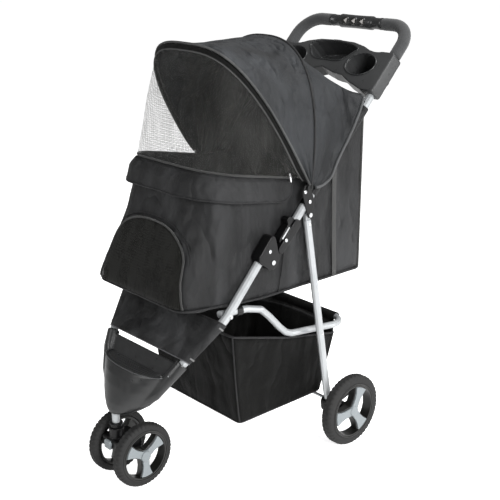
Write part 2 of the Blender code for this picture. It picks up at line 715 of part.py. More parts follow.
def build_link():
    left = link_half()
    right = [Vector((-p.x, p.y, p.z)) for p in left]
    place(tube(left[:-1] + right[-2::-1], LINK_R, 3), "seat_tube", "silver_tube")
    for name, side in SIDES:
        spot = Vector((side * LINK_X, -0.1330, 0.3902))
        reach = Vector((0, 0.0070, -0.00064))
        clip = sleeve([spot - reach, spot + reach], LINK_R + 0.0012, LINK_R + 0.0032)
        place(clip, "seat_clip_" + name, "black_plastic")
        inner, outer = LINK_X + LINK_R + 0.0004, HANDLE_X - TUBE_R - 0.0012
        pin = cylinder(at(side * (inner + outer) / 2, LINK_FRONT_PIVOT), 0.005, outer - inner, segments=14)
        place(pin, "link_spacer_" + name, "steel")


BASKET_TOP_Z, BASKET_FLOOR_Z = 0.255, 0.112


def build_basket():
    """An open-topped bag hung from the rear of the seat tube."""
    bm = bmesh.new()
    half_top, half_floor = 0.150, 0.138
    rear_top, rear_floor = 0.170, 0.137
    front_top, front_floor = -0.158, -0.121
    rows = []
    steps = [(t, 0.0) for t in (0.0, 0.35, 0.7, 1.0)] + [(t, 0.002) for t in (1.0, 0.7, 0.35, 0.0)]
    for t, wall in steps:
        half = half_floor + (half_top - half_floor) * t - wall
        rear = rear_floor + (rear_top - rear_floor) * t - wall
        front = front_floor + (front_top - front_floor) * t + wall
        rise, low, belly = 0.092 * t**2, 0.023 * t**2, 0.024 * t
        corners = [(half, rear, 0), (half, 0.012, low), (half, front, rise), (0, front, rise)]
        corners += [(-half, front, rise), (-half, 0.012, low), (-half, rear, 0), (0, rear + belly, 0.007 * t)]
        z = BASKET_FLOOR_Z + wall + (BASKET_TOP_Z - BASKET_FLOOR_Z - wall) * t
        rows.append([bm.verts.new((x, y, z + up)) for x, y, up in corners])
    loft_rings(bm, rows)
    bm.faces.new(rows[0])
    bm.faces.new(rows[-1])
    basket = mesh_object(bm)
    place(basket, "basket", "fabric")


# ---- soft cabin and canopy ----------------------------------------------------------------------------
def cabin_ring(t, inset=0.0, count_corner=6):
    """Plan outline of the cabin: t is 0 at the floor and 1 at the front rim."""
    front = sample(CABIN_FRONT_Y, t)
    half = CABIN_HALF - inset
    rear = CABIN_REAR_Y - inset
    r = sample(CABIN_CORNER_R, t) - inset
    points = [(-half, rear), (-half, 0.10), (-half, 0.02), (-half, -0.06)]
    left = arc((-(half - r), front + inset + r), r, 180, 270, count_corner)
    right = arc(((half - r), front + inset + r), r, 270, 360, count_corner)
    points += left + [(0, front + inset)] + right
    points += [(half, -0.06), (half, 0.02), (half, 0.10), (half, rear), (0, rear)]
    return points


def rim_path(count):
    """Points evenly spaced along the front rim, from the left canopy pivot round to the right one."""
    ring = [Vector((-x, y, 0)) for x, y in cabin_ring(1.0, count_corner=8) if y < RIM_START_Y]
    ends = [Vector((side * CABIN_HALF, RIM_START_Y, 0)) for side in (1, -1)]
    points = along_path([ends[0], *ring, ends[1]], count)
    return [Vector((p.x, p.y, rim_height(p.y))) for p in points]


def rim_height(y):
    """Top edge of the cabin: the zip line in front, then up along the handle tubes."""
    if y <= RIM_START_Y:
        t = (RIM_START_Y - y) / (RIM_START_Y - CABIN_FRONT_Y[-1])
        return RIM_REAR_Z + (RIM_FRONT_Z - RIM_REAR_Z) * min(t, 1)
    top = HANDLE_START.z + (y - HANDLE_START.y) * math.tan(HANDLE_TILT)
    return max(RIM_REAR_Z, top - 0.004)


def build_cabin():
    bm = bmesh.new()
    rows = []
    levels = 5
    for k in range(levels):
        t = k / (levels - 1)
        row = []
        for x, y in cabin_ring(t):
            top = rim_height(y)
            row.append(bm.verts.new((x, y, CABIN_FLOOR_Z + (top - CABIN_FLOOR_Z) * t)))
        rows.append(row)
    loft_rings(bm, rows)
    bm.faces.new(rows[0])
    cabin = mesh_object(bm)
    solid = cabin.modifiers.new("cloth", "SOLIDIFY")
    solid.thickness = CABIN_WALL
    solid.offset = -1
    place(cabin, "cabin", "fabric")
    outline = [(x, y) for x, y in cabin_ring(0.05, inset=0.012, count_corner=4)]
    base = (Vector((0, 0, CABIN_FLOOR_Z)), Vector((1, 0, 0)), Vector((0, 1, 0)), Vector((0, 0, 1)))
    place(slab(outline, base, CABIN_WALL + GAP, CABIN_WALL + 0.006), "cabin_floor_board", "board")
    place(slab(outline, base, CABIN_WALL + 0.0065, CABIN_WALL + 0.024), "cabin_mat", "mat_fabric")


def hoop_point(section, half, u):
    """A point of a squarish arch that stands on the canopy pivots; u runs 0 to 1 from left to right."""
    lean, height, power = section
    angle = math.pi * u
    c, s = math.cos(angle), math.sin(angle)
    x = half * math.copysign(abs(c) ** (2 / power), c)
    r = height * abs(s) ** (2 / power)
    return CANOPY_PIVOT + Vector((x, -r * math.sin(lean), r * math.cos(lean)))


def build_hoop(name, section, half, hub_low):
    lean, height, power = section
    steps = [0.5 - 0.5 * math.cos(math.pi * k / 26) for k in range(27)]
    path = [hoop_point((lean, height - 0.004, power), half, u) for u in steps]
    foot = Vector((0, -math.sin(lean), math.cos(lean))) * 0.0055
    path[0] += foot
    path[-1] += foot
    hoop = tube(path, WIRE_R, 2)
    for side in (1, -1):
        hub = cylinder(at(side * (hub_low + 0.0016), CANOPY_PIVOT), 0.0080, 0.0032, segments=18)
        boolean(hoop, hub, "UNION")
    for side in (1, -1):
        boolean(hoop, cylinder(at(side * (hub_low + 0.0016), CANOPY_PIVOT), 0.0030 + GAP, 0.008, segments=12))
    place(hoop, name, "steel")


def along_path(path, count):
    """Points evenly spaced by length along a path."""
    lengths = [0.0]
    for a, b in zip(path, path[1:]):
        lengths.append(lengths[-1] + (b - a).length)
    points = []
    for k in range(count):
        goal = lengths[-1] * k / (count - 1)
        i = min(max(j for j in range(len(path)) if lengths[j] <= goal + 1e-9), len(path) - 2)
        t = (goal - lengths[i]) / (lengths[i + 1] - lengths[i])
        points.append(path[i].lerp(path[i + 1], t))
    return points


def hoop_edge(section, columns):
    """One arch of the canopy, evenly spaced from just above the left pivot to the right one."""
    fine = [hoop_point(section, CANOPY_HALF, 0.5 - 0.5 * math.cos(math.pi * k / 80)) for k in range(81)]
    return along_path([p for p in fine if p.z > CANOPY_PIVOT.z + 0.010], columns + 1)


def ruled(first, last, rows, sag=0.0):
    """Rows of cloth stretched between two edges, sagging a little half way."""
    grid = []
    for k in range(rows):
        t = k / (rows - 1)
        dip = Vector((0, 0, -4 * sag * t * (1 - t)))
        grid.append([a.lerp(b, t) + dip for a, b in zip(first, last)])
    return grid


def build_canopy():
    columns = 26
    split = math.radians(0.8)
    mid_front = hoop_edge((HOOP_MID[0] + split, *HOOP_MID[1:]), columns)
    mid_rear = hoop_edge((HOOP_MID[0] - split, *HOOP_MID[1:]), columns)
    half_edge = [Vector(p) for p in CANOPY_EDGE]
    other_half = [Vector((-p.x, p.y, p.z)) for p in half_edge[-2::-1]]
    rear_edge = along_path(half_edge + other_half, columns + 1)
    place(skin(ruled(hoop_edge(HOOP_FRONT, columns), mid_front, 4, 0.003), 0.0015, 1), "canopy_front", "fabric")
    place(skin(ruled(mid_rear, rear_edge, 4), 0.0015, 1), "canopy_rear", "fabric")
    build_hoop("canopy_hoop_mid", HOOP_MID, 0.1837, 0.1819)
    build_hoop("canopy_hoop_front", HOOP_FRONT, 0.1873, 0.1856)

    rim = rim_path(columns + 1)
    top = hoop_edge((HOOP_FRONT[0] + math.radians(1.2), *HOOP_FRONT[1:]), columns)
    grid = []
    for k in range(5):
        t = k / 4
        row = [a.lerp(b + Vector((0, 0, 0.004)), t) for a, b in zip(top[2:-2], rim[2:-2])]
        grid.append(row)
    place(skin(grid, 0.0012, 0), "canopy_mesh", "mesh")


# ---- assembly -----------------------------------------------------------------------------------------
def build():
    build_handle()
    build_tray()
    for name, side in SIDES:
        build_leg_bracket(name, side)
        build_hinge(name, side)
        build_lock_slider(name, side)
        build_front_leg(name, side)
        build_rear_leg(name, side)
        build_brake_pedal(name, side)
        rear = Vector((side * REAR_WHEEL.x, REAR_WHEEL.y, REAR_WHEEL.z))
        build_wheel("rear_wheel_" + name, rear, REAR_R, REAR_RING_R, REAR_WIDTH, side, 65)
        front = Vector((side * FRONT_WHEEL.x, FRONT_WHEEL.y, FRONT_WHEEL.z))
        build_wheel("front_wheel_" + name, front, FRONT_R, FRONT_RING_R, FRONT_WIDTH, side, 32)
    build_footrest()
    build_calf_panel()
    build_caster()
    build_rear_axle()
    build_link()
    build_basket()
    build_cabin()
    build_canopy()
    hang_on_pivots()


def hang_on_pivots():
    """Parents every moving piece to an empty on its joint's axis."""
    handle = pivot("handle_pivot", LEG_PIVOT)
    front = pivot("front_frame_pivot", FOLD_PIVOT, handle)
    link = pivot("seat_link_pivot", LINK_FRONT_PIVOT, front)
    hood = pivot("hood_pivot", CANOPY_PIVOT, handle)
    caster = pivot("caster_pivot", Vector((0, CASTER_Y, 0.15)), front)
    on_handle_names = ["handle_tube", "centre_grip", "parent_tray", "canopy_rear"]
    on_front = ["footrest_shell", "footrest_tread", "caster_stem", "calf_panel"]
    on_front += ["cabin", "cabin_floor_board", "cabin_mat"]
    on_link = ["seat_tube", "basket"]
    for name, side in SIDES:
        on_handle_names += [f"{piece}_{name}" for piece in ("foam_grip", "leg_bracket", "leg_pivot_pin")]
        on_handle_names += [f"{piece}_{name}" for piece in ("hinge_casing", "lock_slider")]
        on_front += [f"{piece}_{name}" for piece in ("front_leg", "hinge_housing", "fold_pin")]
        on_link += [f"{piece}_{name}" for piece in ("seat_clip", "link_spacer")]
        rear, near = REAR_WHEEL, FRONT_WHEEL
        axle = pivot(f"rear_axle_pivot_{name}", Vector((side * rear.x, rear.y, rear.z)))
        hub = pivot(f"front_axle_pivot_{name}", Vector((side * near.x, near.y, near.z)), caster)
        attach(bpy.data.objects["brake_pedal_" + name], axle)
        for piece in ("tyre", "rim", "trim"):
            attach(bpy.data.objects[f"rear_wheel_{name}_{piece}"], axle)
            attach(bpy.data.objects[f"front_wheel_{name}_{piece}"], hub)
    groups = (
        (handle, on_handle_names),
        (front, on_front),
        (link, on_link),
        (hood, ["canopy_hoop_mid", "canopy_front", "canopy_hoop_front", "canopy_mesh"]),
        (caster, ["caster_fork", "caster_axle", "swivel_lock"]),
    )
    for parent, names in groups:
        for name in names:
            attach(bpy.data.objects[name], parent)


build()
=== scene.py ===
"""Pet stroller: the looks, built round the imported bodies.

Metres, +Z up, +Y towards the handle, +X is "left".
"""

import json
import math

import bmesh
import bpy
from mathutils import Matrix, Vector, noise
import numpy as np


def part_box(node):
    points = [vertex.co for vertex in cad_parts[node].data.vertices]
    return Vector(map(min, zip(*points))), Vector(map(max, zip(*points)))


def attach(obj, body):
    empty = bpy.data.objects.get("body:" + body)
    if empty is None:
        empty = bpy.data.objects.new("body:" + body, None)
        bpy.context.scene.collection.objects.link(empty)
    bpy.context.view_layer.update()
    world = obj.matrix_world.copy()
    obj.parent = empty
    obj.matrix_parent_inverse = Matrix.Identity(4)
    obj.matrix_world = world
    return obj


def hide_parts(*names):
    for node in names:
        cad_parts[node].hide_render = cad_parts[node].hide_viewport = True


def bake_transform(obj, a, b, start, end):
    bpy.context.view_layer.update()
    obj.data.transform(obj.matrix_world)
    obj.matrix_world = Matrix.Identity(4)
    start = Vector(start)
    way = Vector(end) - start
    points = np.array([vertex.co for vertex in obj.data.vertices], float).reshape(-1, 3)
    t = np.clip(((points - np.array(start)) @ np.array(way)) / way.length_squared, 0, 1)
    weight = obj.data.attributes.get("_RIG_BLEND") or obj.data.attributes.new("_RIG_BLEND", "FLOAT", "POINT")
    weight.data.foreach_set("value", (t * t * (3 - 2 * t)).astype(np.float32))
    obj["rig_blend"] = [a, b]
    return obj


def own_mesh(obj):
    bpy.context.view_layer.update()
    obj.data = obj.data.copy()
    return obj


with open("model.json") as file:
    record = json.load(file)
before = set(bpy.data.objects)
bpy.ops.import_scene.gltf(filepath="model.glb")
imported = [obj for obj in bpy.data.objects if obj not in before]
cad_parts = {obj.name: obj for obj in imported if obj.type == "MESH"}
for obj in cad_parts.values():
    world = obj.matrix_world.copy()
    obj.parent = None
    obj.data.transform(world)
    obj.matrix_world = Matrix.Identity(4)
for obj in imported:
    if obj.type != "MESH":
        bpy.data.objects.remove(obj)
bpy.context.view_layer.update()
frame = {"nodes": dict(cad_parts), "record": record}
NODES = frame["nodes"]


# ---- dimensions shared with the frame ----
TUBE_R, LEG_R, LINK_R = 0.0095, 0.00875, 0.008
HANDLE_X, LINK_X = 0.169, 0.148
CABIN_HALF, CANOPY_HALF = 0.155, 0.1895
LEG_PIVOT = Vector((0, 0.0478, 0.5755))
CANOPY_PIVOT = Vector((0, 0.040, 0.640))
HANDLE_START = Vector((0, 0.0366, 0.5921))
HANDLE_TILT = math.radians(46.4)
HANDLE_LENGTH, HANDLE_CORNER_R = 0.5017, 0.055
FOAM_START, FOAM_INNER_X = 0.412, 0.0825
REAR_WHEEL = Vector((0.2225, 0.152, 0.0864))
REAR_R, REAR_RING_R, REAR_WIDTH = 0.0864, 0.0615, 0.028
FRONT_WHEEL = Vector((0.0462, -0.3245, 0.0734))
FRONT_R, FRONT_RING_R, FRONT_WIDTH = 0.0734, 0.0532, 0.026
CABIN_FLOOR_Z, CABIN_REAR_Y = 0.407, 0.244
CABIN_FRONT_Y = (-0.280, -0.272, -0.246, -0.222, -0.205)
CABIN_CORNER_R = (0.030, 0.052, 0.072, 0.080, 0.085)
RIM_REAR_Z, RIM_FRONT_Z, RIM_START_Y = 0.660, 0.700, 0.010
HOOP_FRONT = (math.radians(31.0), 0.355, 3.1)
HOOP_MID = (math.radians(-7.5), 0.306, 2.5)
CANOPY_EDGE = (
    (0.1885, 0.0560, 0.6370),
    (0.1865, 0.0780, 0.6385),
    (0.1840, 0.1050, 0.6500),
    (0.1830, 0.1200, 0.6720),
    (0.1830, 0.1360, 0.6970),
    (0.1830, 0.1720, 0.7470),
    (0.1830, 0.1960, 0.7900),
    (0.1770, 0.2110, 0.8150),
    (0.1550, 0.2120, 0.8190),
    (0.0800, 0.2090, 0.8200),
    (0.0000, 0.2070, 0.8200),
)
SIDES = (("left", 1), ("right", -1))
ALONG = Vector((0, math.cos(HANDLE_TILT), math.sin(HANDLE_TILT)))
UP = Vector((0, -math.sin(HANDLE_TILT), math.cos(HANDLE_TILT)))


# ---- materials ----
class Nodes:
    """A material's node tree, with a short way to add and link nodes."""

    def __init__(self, name, roughness=0.5, metallic=0.0, **sockets):
        self.material = bpy.data.materials.new(name)
        self.material.use_nodes = True
        self.tree = self.material.node_tree
        self.shader = self.tree.nodes["Principled BSDF"]
        self.shader.inputs["Roughness"].default_value = roughness
        self.shader.inputs["Metallic"].default_value = metallic
        for socket, value in sockets.items():
            self.shader.inputs[socket.replace("_", " ")].default_value = value
        self.place = self.add("ShaderNodeTexCoord").outputs["Object"]

    def add(self, kind, **inputs):
        node = self.tree.nodes.new(kind)
        for name, value in inputs.items():
            self.feed(node.inputs[name.replace("_", " ")], value)
        return node

    def feed(self, socket, value):
        if isinstance(value, bpy.types.NodeSocket):
            self.tree.links.new(value, socket)
        else:
            socket.default_value = value

    def math(self, operation, a, b=0.0):
        node = self.tree.nodes.new("ShaderNodeMath")
        node.operation = operation
        self.feed(node.inputs[0], a)
        self.feed(node.inputs[1], b)
        return node.outputs[0]

    def noise(self, scale, detail=3.0, roughness=0.5, stretch=(1, 1, 1)):
        moved = self.add("ShaderNodeMapping", Vector=self.place, Scale=stretch)
        return self.add(
            "ShaderNodeTexNoise", Vector=moved.outputs[0], Scale=scale, Detail=detail, Roughness=roughness
        ).outputs["Fac"]

    def ramp(self, value, low, high, out_low=0.0, out_high=1.0):
        ends = {"From_Min": low, "From_Max": high, "To_Min": out_low, "To_Max": out_high}
        node = self.add("ShaderNodeMapRange", Value=value, **ends)
        return node.outputs[0]

    def mix(self, factor, a, b):
        node = self.tree.nodes.new("ShaderNodeMix")
        node.data_type = "RGBA"
        self.feed(node.inputs[0], factor)
        self.feed(node.inputs[6], a)
        self.feed(node.inputs[7], b)
        return node.outputs[2]

    def colour(self, value):
        self.feed(self.shader.inputs["Base Color"], value)

    def rough(self, value):
        self.feed(self.shader.inputs["Roughness"], value)

    def bump(self, height, distance, strength=1.0, under=None):
        node = self.add("ShaderNodeBump", Height=height, Distance=distance, Strength=strength)
        if under is not None:
            self.feed(node.inputs["Normal"], under)
        self.feed(self.shader.inputs["Normal"], node.outputs[0])
        return node.outputs[0]

    def weave(self, pitch):
        """A plain weave that shows on every facing: products of sines along the three axes."""
        split = self.add("ShaderNodeSeparateXYZ", Vector=self.place)
        waves = [
            self.math("SINE", self.math("MULTIPLY", split.outputs[i], 2 * math.pi / pitch)) for i in range(3)
        ]
        products = [self.math("MULTIPLY", waves[i], waves[(i + 1) % 3]) for i in range(3)]
        return self.math("ADD", self.math("ADD", products[0], products[1]), products[2])


def rgb(*values):
    return (*values, 1.0)


def cloth_material(
    name, dark, light, pitch=0.0016, roughness=0.56, sheen=0.02, crease=0.0012, sheer=0.20, fold_light_and_shade=0.0
):
    """Woven cloth: two slow tones, partly painted light and shade of folds, flecks, threads and creases; the
    last argument paints highlights and shade of soft hanging folds.
    """
    n = Nodes(name, roughness=roughness, Sheen_Weight=sheen, Sheen_Roughness=0.45, Specular_IOR_Level=sheer)
    tone = n.noise(7.0, 3.0, 0.5, (1, 1, 0.5))
    fleck = n.noise(420.0, 2.0)
    weave = n.weave(pitch)
    # patches of the two given tones, stretched upright: partly random cloth tone, partly painted light and
    # shade of soft folds
    tone_with_painted_shade = n.mix(n.ramp(tone, 0.34, 0.68), rgb(*dark), rgb(*light))
    if fold_light_and_shade:
        # painted fold light: lighter streaks are painted highlights on soft hanging folds, darker streaks are
        # painted shade in the creases between them
        painted_fold_noise = n.noise(15.0, 2.5, 0.5, (1, 1, 0.14))
        tone_with_painted_shade = n.mix(n.ramp(painted_fold_noise, 0.50, 0.68, 0.0, fold_light_and_shade), tone_with_painted_shade, rgb(*(2.4 * v for v in light)))
        tone_with_painted_shade = n.mix(n.ramp(painted_fold_noise, 0.48, 0.34, 0.0, fold_light_and_shade), tone_with_painted_shade, rgb(*(0.2 * v for v in dark)))
    thread = n.mix(n.ramp(weave, -1.2, 1.6, 0.0, 0.30), tone_with_painted_shade, rgb(*(1.45 * v for v in light)))
    n.colour(n.mix(n.ramp(fleck, 0.55, 0.8, 0.0, 0.25), thread, rgb(*(1.9 * v for v in light))))
    n.rough(n.ramp(tone, 0.3, 0.7, roughness - 0.08, min(roughness + 0.08, 1.0)))
    broad = n.bump(n.noise(9.0, 2.0, 0.45, (1, 1, 0.4)), crease * 30, 1.0)
    valley = n.math("ABSOLUTE", n.math("SUBTRACT", n.noise(6.5, 3.0, 0.55, (1, 1, 0.6)), 0.5))
    creased = n.bump(n.ramp(valley, 0.0, 0.10), crease * 4.5, 0.9, broad)
    folds = n.bump(n.noise(24.0, 3.0, 0.5, (1, 1, 0.5)), crease * 4.0, 0.9, creased)
    n.bump(weave, 0.00025, 0.5, folds)
    return n.material


def plastic_material(name, base, roughness=0.45, grain=0.00003, worn=1.35, pitch=500.0, shine=0.42):
    n = Nodes(name, roughness=roughness, Specular_IOR_Level=shine)
    cloudy = n.noise(14.0, 3.0)
    n.colour(n.mix(n.ramp(cloudy, 0.3, 0.75), rgb(*base), rgb(*(worn * v for v in base))))
    n.rough(n.ramp(n.noise(60.0, 4.0), 0.3, 0.7, roughness - 0.07, roughness + 0.09))
    n.bump(n.noise(pitch, 2.0), grain, 0.7)
    return n.material


def silver_material():
    n = Nodes("silver_tube", roughness=0.36, metallic=0.45, Specular_IOR_Level=0.5)
    n.colour(n.mix(n.ramp(n.noise(18.0, 3.0), 0.3, 0.75), rgb(0.30, 0.312, 0.32), rgb(0.37, 0.382, 0.39)))
    n.rough(n.ramp(n.noise(60.0, 3.0), 0.3, 0.7, 0.32, 0.42))
    n.bump(n.noise(600.0, 1.0), 0.00001, 0.3)
    return n.material


def steel_material(name="steel", base=(0.55, 0.56, 0.57), roughness=0.28):
    n = Nodes(name, roughness=roughness, metallic=0.9)
    n.colour(n.mix(n.ramp(n.noise(80.0, 5.0), 0.4, 0.7), rgb(*base), rgb(*(0.8 * v for v in base))))
    n.rough(n.ramp(n.noise(500.0, 2.0), 0.3, 0.7, roughness - 0.06, roughness + 0.12))
    n.bump(n.noise(900.0, 2.0), 0.00003, 0.4)
    return n.material


def foam_material():
    n = Nodes("foam", roughness=0.92, Sheen_Weight=0.15, Sheen_Roughness=0.5, Specular_IOR_Level=0.25)
    cells = n.add("ShaderNodeTexVoronoi", Vector=n.place, Scale=1100.0).outputs["Distance"]
    tone = n.mix(n.ramp(n.noise(35.0, 4.0), 0.35, 0.7), rgb(0.027, 0.0275, 0.028), rgb(0.040, 0.0405, 0.041))
    n.colour(n.mix(n.ramp(cells, 0.2, 0.75), tone, rgb(0.024, 0.025, 0.026)))
    n.bump(cells, 0.0003, 0.6, n.bump(n.noise(180.0, 3.0), 0.0003, 0.5))
    return n.material


def tyre_material():
    n = Nodes("tyre", roughness=0.8, Specular_IOR_Level=0.35)
    dust = n.noise(24.0, 5.0, 0.6)
    n.colour(n.mix(n.ramp(dust, 0.40, 0.72), rgb(0.004, 0.004, 0.004), rgb(0.014, 0.0137, 0.0134)))
    n.rough(n.ramp(dust, 0.3, 0.7, 0.62, 0.86))
    n.bump(n.noise(700.0, 2.0), 0.00012, 0.6)
    return n.material


def mesh_material(name, base, holes, threads, pitch=0.0050, sheer=0.4):
    """Knitted net: threads with open holes between, so what is behind shows through."""
    n = Nodes(name, roughness=0.7, Sheen_Weight=0.04, Specular_IOR_Level=sheer)
    weave = n.weave(pitch)
    n.colour(n.mix(n.ramp(n.noise(16.0, 3.0), 0.3, 0.7), rgb(*base), rgb(*(1.6 * v for v in base))))
    knot = n.ramp(weave, -0.5, 0.7)
    gathered = n.ramp(n.noise(34.0, 3.0, 0.6, (1, 1, 0.3)), 0.35, 0.7, 0.8, 1.35)
    n.feed(n.shader.inputs["Alpha"], n.math("MULTIPLY", n.ramp(knot, 0.0, 1.0, holes, threads), gathered))
    n.bump(weave, 0.0003, 0.5)
    return n.material


def webbing_material(name, base, rib=0.0021):
    n = Nodes(name, roughness=0.7, Sheen_Weight=0.15, Sheen_Roughness=0.4)
    weave = n.weave(rib)
    n.colour(n.mix(n.ramp(weave, -0.8, 1.0), rgb(*base), rgb(*(1.5 * v for v in base))))
    n.bump(weave, 0.0004, 0.7)
    return n.material


MATERIALS = {
    "silver_tube": silver_material(),
    "black_plastic": plastic_material("black_plastic", (0.0016, 0.0016, 0.0018), 0.36, shine=0.24),
    "grey_plastic": plastic_material("grey_plastic", (0.014, 0.0145, 0.015), 0.27),
    "foam": foam_material(),
    # the cabin cloth's wide dark-to-light range and its streaks paint highlights and shade of folds into its
    # colour
    "fabric": cloth_material(
        "cabin_cloth", (0.0032, 0.0033, 0.0035), (0.0140, 0.0143, 0.0150), crease=0.0018, fold_light_and_shade=0.55
    ),
    "mat_fabric": cloth_material("mat_cloth", (0.030, 0.031, 0.033), (0.045, 0.046, 0.049), crease=0.002),
    "mesh": mesh_material("net", (0.028, 0.028, 0.026), 0.06, 0.28),
    "tyre": tyre_material(),
    "pale_trim": plastic_material("pale_trim", (0.150, 0.166, 0.174), 0.42, worn=1.12),
    "steel": steel_material(),
    "board": plastic_material("board", (0.03, 0.03, 0.03), 0.7),
}
# the canopy cloth's wide dark-to-light range and its streaks paint highlights and shade of folds into its
# colour
CANOPY_CLOTH = cloth_material(
    "canopy_cloth", (0.0036, 0.0040, 0.0046), (0.0165, 0.0180, 0.0200), crease=0.0024, fold_light_and_shade=0.30
)
LINING = cloth_material("lining_cloth", (0.005, 0.005, 0.005), (0.010, 0.010, 0.010))
BASKET_CLOTH = cloth_material("basket_cloth", (0.0010, 0.0010, 0.0009), (0.0026, 0.0026, 0.0024), sheer=0.07)
WINDOW_NET = mesh_material("window_net", (0.0040, 0.0040, 0.0034), 0.84, 1.0, 0.0034, 0.08)
PIPING = cloth_material("piping", (0.005, 0.005, 0.0055), (0.012, 0.012, 0.0125), 0.0011, 0.55)
LIP = cloth_material("lip_piping", (0.022, 0.022, 0.022), (0.045, 0.045, 0.045), 0.0011, 0.5)
PALE_PIPING = cloth_material("pale_piping", (0.040, 0.041, 0.042), (0.065, 0.067, 0.069), 0.0011, 0.6)
STITCH = cloth_material("stitch", (0.05, 0.05, 0.053), (0.08, 0.08, 0.085), 0.0012, 0.7)
WEBBING = webbing_material("webbing", (0.006, 0.006, 0.0055))
ZIP_TAPE = webbing_material("zip_tape", (0.0055, 0.0055, 0.0050), 0.0016)
CHROME = steel_material("zip_pull", (0.72, 0.73, 0.74), 0.2)
SHELL_PLASTIC = plastic_material("footrest_plastic", (0.011, 0.0113, 0.0115), 0.34)
RIM_PLASTIC = plastic_material("rim_plastic", (0.006, 0.006, 0.0055), 0.34)
TAB = plastic_material("tab_grey", (0.10, 0.10, 0.10), 0.5)
# a paler, glossier plastic for the cord along the footrest's rim: a painted highlight on the rim's edge
PAINTED_RIM_HIGHLIGHT = plastic_material("painted_rim_highlight", (0.035, 0.036, 0.037), 0.3)
TRAY_PLASTIC = plastic_material("tray_plastic", (0.026, 0.0265, 0.027), 0.33, shine=0.28)
WEDGE = plastic_material("wedge_grey", (0.26, 0.25, 0.24), 0.5)

for row in frame["record"]["subparts"]:
    node = NODES[row["node"]]
    finish = MATERIALS[row["material_slot"]]
    if not node.material_slots:
        node.data.materials.append(finish)
    for slot in node.material_slots:
        slot.material = finish


for hoop in ("canopy_hoop_mid", "canopy_hoop_front"):
    for slot in NODES[hoop].material_slots:
        slot.material = LINING


# ---- mesh helpers ----
def new_object(name, bm, material, smooth=60):
    bmesh.ops.recalc_face_normals(bm, faces=bm.faces[:])
    mesh = bpy.data.meshes.new(name)
    bm.to_mesh(mesh)
    bm.free()
    mesh.materials.append(material)
    mesh.shade_smooth()
    if smooth:
        mesh.set_sharp_from_angle(angle=math.radians(smooth))
    obj = bpy.data.objects.new(name, mesh)
    bpy.context.scene.collection.objects.link(obj)
    return obj


def baked(obj):
    """Applies an object's modifiers, so that its mesh is final."""
    bpy.context.view_layer.update()
    graph = bpy.context.evaluated_depsgraph_get()
    mesh = bpy.data.meshes.new_from_object(
        obj.evaluated_get(graph), preserve_all_data_layers=True, depsgraph=graph
    )
    obj.modifiers.clear()
    obj.data = mesh
    return obj


def subdivided(obj, levels=1):
    modifier = obj.modifiers.new("smooth", "SUBSURF")
    modifier.levels = levels
    modifier.render_levels = levels
    return baked(obj)


def thick(obj, thickness, offset=0.0):
    modifier = obj.modifiers.new("cloth", "SOLIDIFY")
    modifier.thickness = thickness
    modifier.offset = offset
    modifier.use_even_offset = False
    return baked(obj)


def softened(obj, voxel, passes, keep=None):
    """Remeshed and smoothed to take the edges off, then thinned where keep is given."""
    remesh = obj.modifiers.new("remesh", "REMESH")
    remesh.mode = "VOXEL"
    remesh.voxel_size = voxel
    soften = obj.modifiers.new("soften", "SMOOTH")
    soften.factor = 0.5
    soften.iterations = passes
    if keep:
        obj.modifiers.new("thin", "DECIMATE").ratio = keep
    baked(obj)
    obj.data.shade_smooth()


def finished(obj, body, slot_name, *replaced):
    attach(obj, body)
    if replaced:
        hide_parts(*replaced)
    return obj


def along_path(path, count):
    """Points evenly spaced by length along a path."""
    lengths = [0.0]
    for a, b in zip(path, path[1:]):
        lengths.append(lengths[-1] + (b - a).length)
    points = []
    i = 0
    for k in range(count):
        goal = lengths[-1] * k / (count - 1)
        while i < len(path) - 2 and lengths[i + 1] < goal:
            i += 1
        span = lengths[i + 1] - lengths[i]
        points.append(path[i].lerp(path[i + 1], (goal - lengths[i]) / span if span else 0))
    return points


def smooth_path(points, steps=6):
    """A Catmull-Rom curve through a few points."""
    ends = [2 * points[0] - points[1], *points, 2 * points[-1] - points[-2]]
    path = []
    for a, b, c, d in zip(ends, ends[1:], ends[2:], ends[3:]):
        for k in range(steps):
            t = k / steps
            bent, twisted = 2 * a - 5 * b + 4 * c - d, 3 * b - 3 * c + d - a
            path.append(0.5 * (2 * b + (c - a) * t + bent * t * t + twisted * t**3))
    return [*path, points[-1]]


def full_turn(count):
    return [2 * math.pi * k / count for k in range(count)]


def bridge(bm, rings, open_rows=False, loop=False, caps=False):
    """Faces between neighbouring rings; loop joins the last ring to the first, caps fill both ends."""
    for a, b in zip(rings, [*rings[1:], rings[0]] if loop else rings[1:]):
        for i in range(len(a) - open_rows):
            j = (i + 1) % len(a)
            bm.faces.new((a[i], a[j], b[j], b[i]))
    if caps:
        bm.faces.new(rings[0])
        bm.faces.new(rings[-1])


def sweep(name, path, section, material, closed=False, up=Vector((0, 0, 1)), smooth=60):
    """A closed (a, b) section carried along a path; b points as near up as it can."""
    bm = bmesh.new()
    rings = []
    count = len(path)
    for i, p in enumerate(path):
        before = path[i - 1] if closed or i else path[0]
        after = path[(i + 1) % count] if closed or i < count - 1 else path[-1]
        forward = (after - before).normalized()
        side = forward.cross(up)
        side = side.normalized() if side.length > 1e-4 else Vector((1, 0, 0))
        normal = side.cross(forward)
        rings.append([bm.verts.new(p + side * a + normal * b) for a, b in section])
    bridge(bm, rings, loop=closed, caps=not closed)
    return new_object(name, bm, material, smooth)


def round_section(radius, count=10, flat=1.0):
    return [(radius * math.cos(a), radius * flat * math.sin(a)) for a in full_turn(count)]


def cordlike(name, path, radius, material, body, slot_name="fabric", closed=False, count=8):
    obj = sweep(name, path, round_section(radius, count), material, closed)
    return finished(obj, body, slot_name)


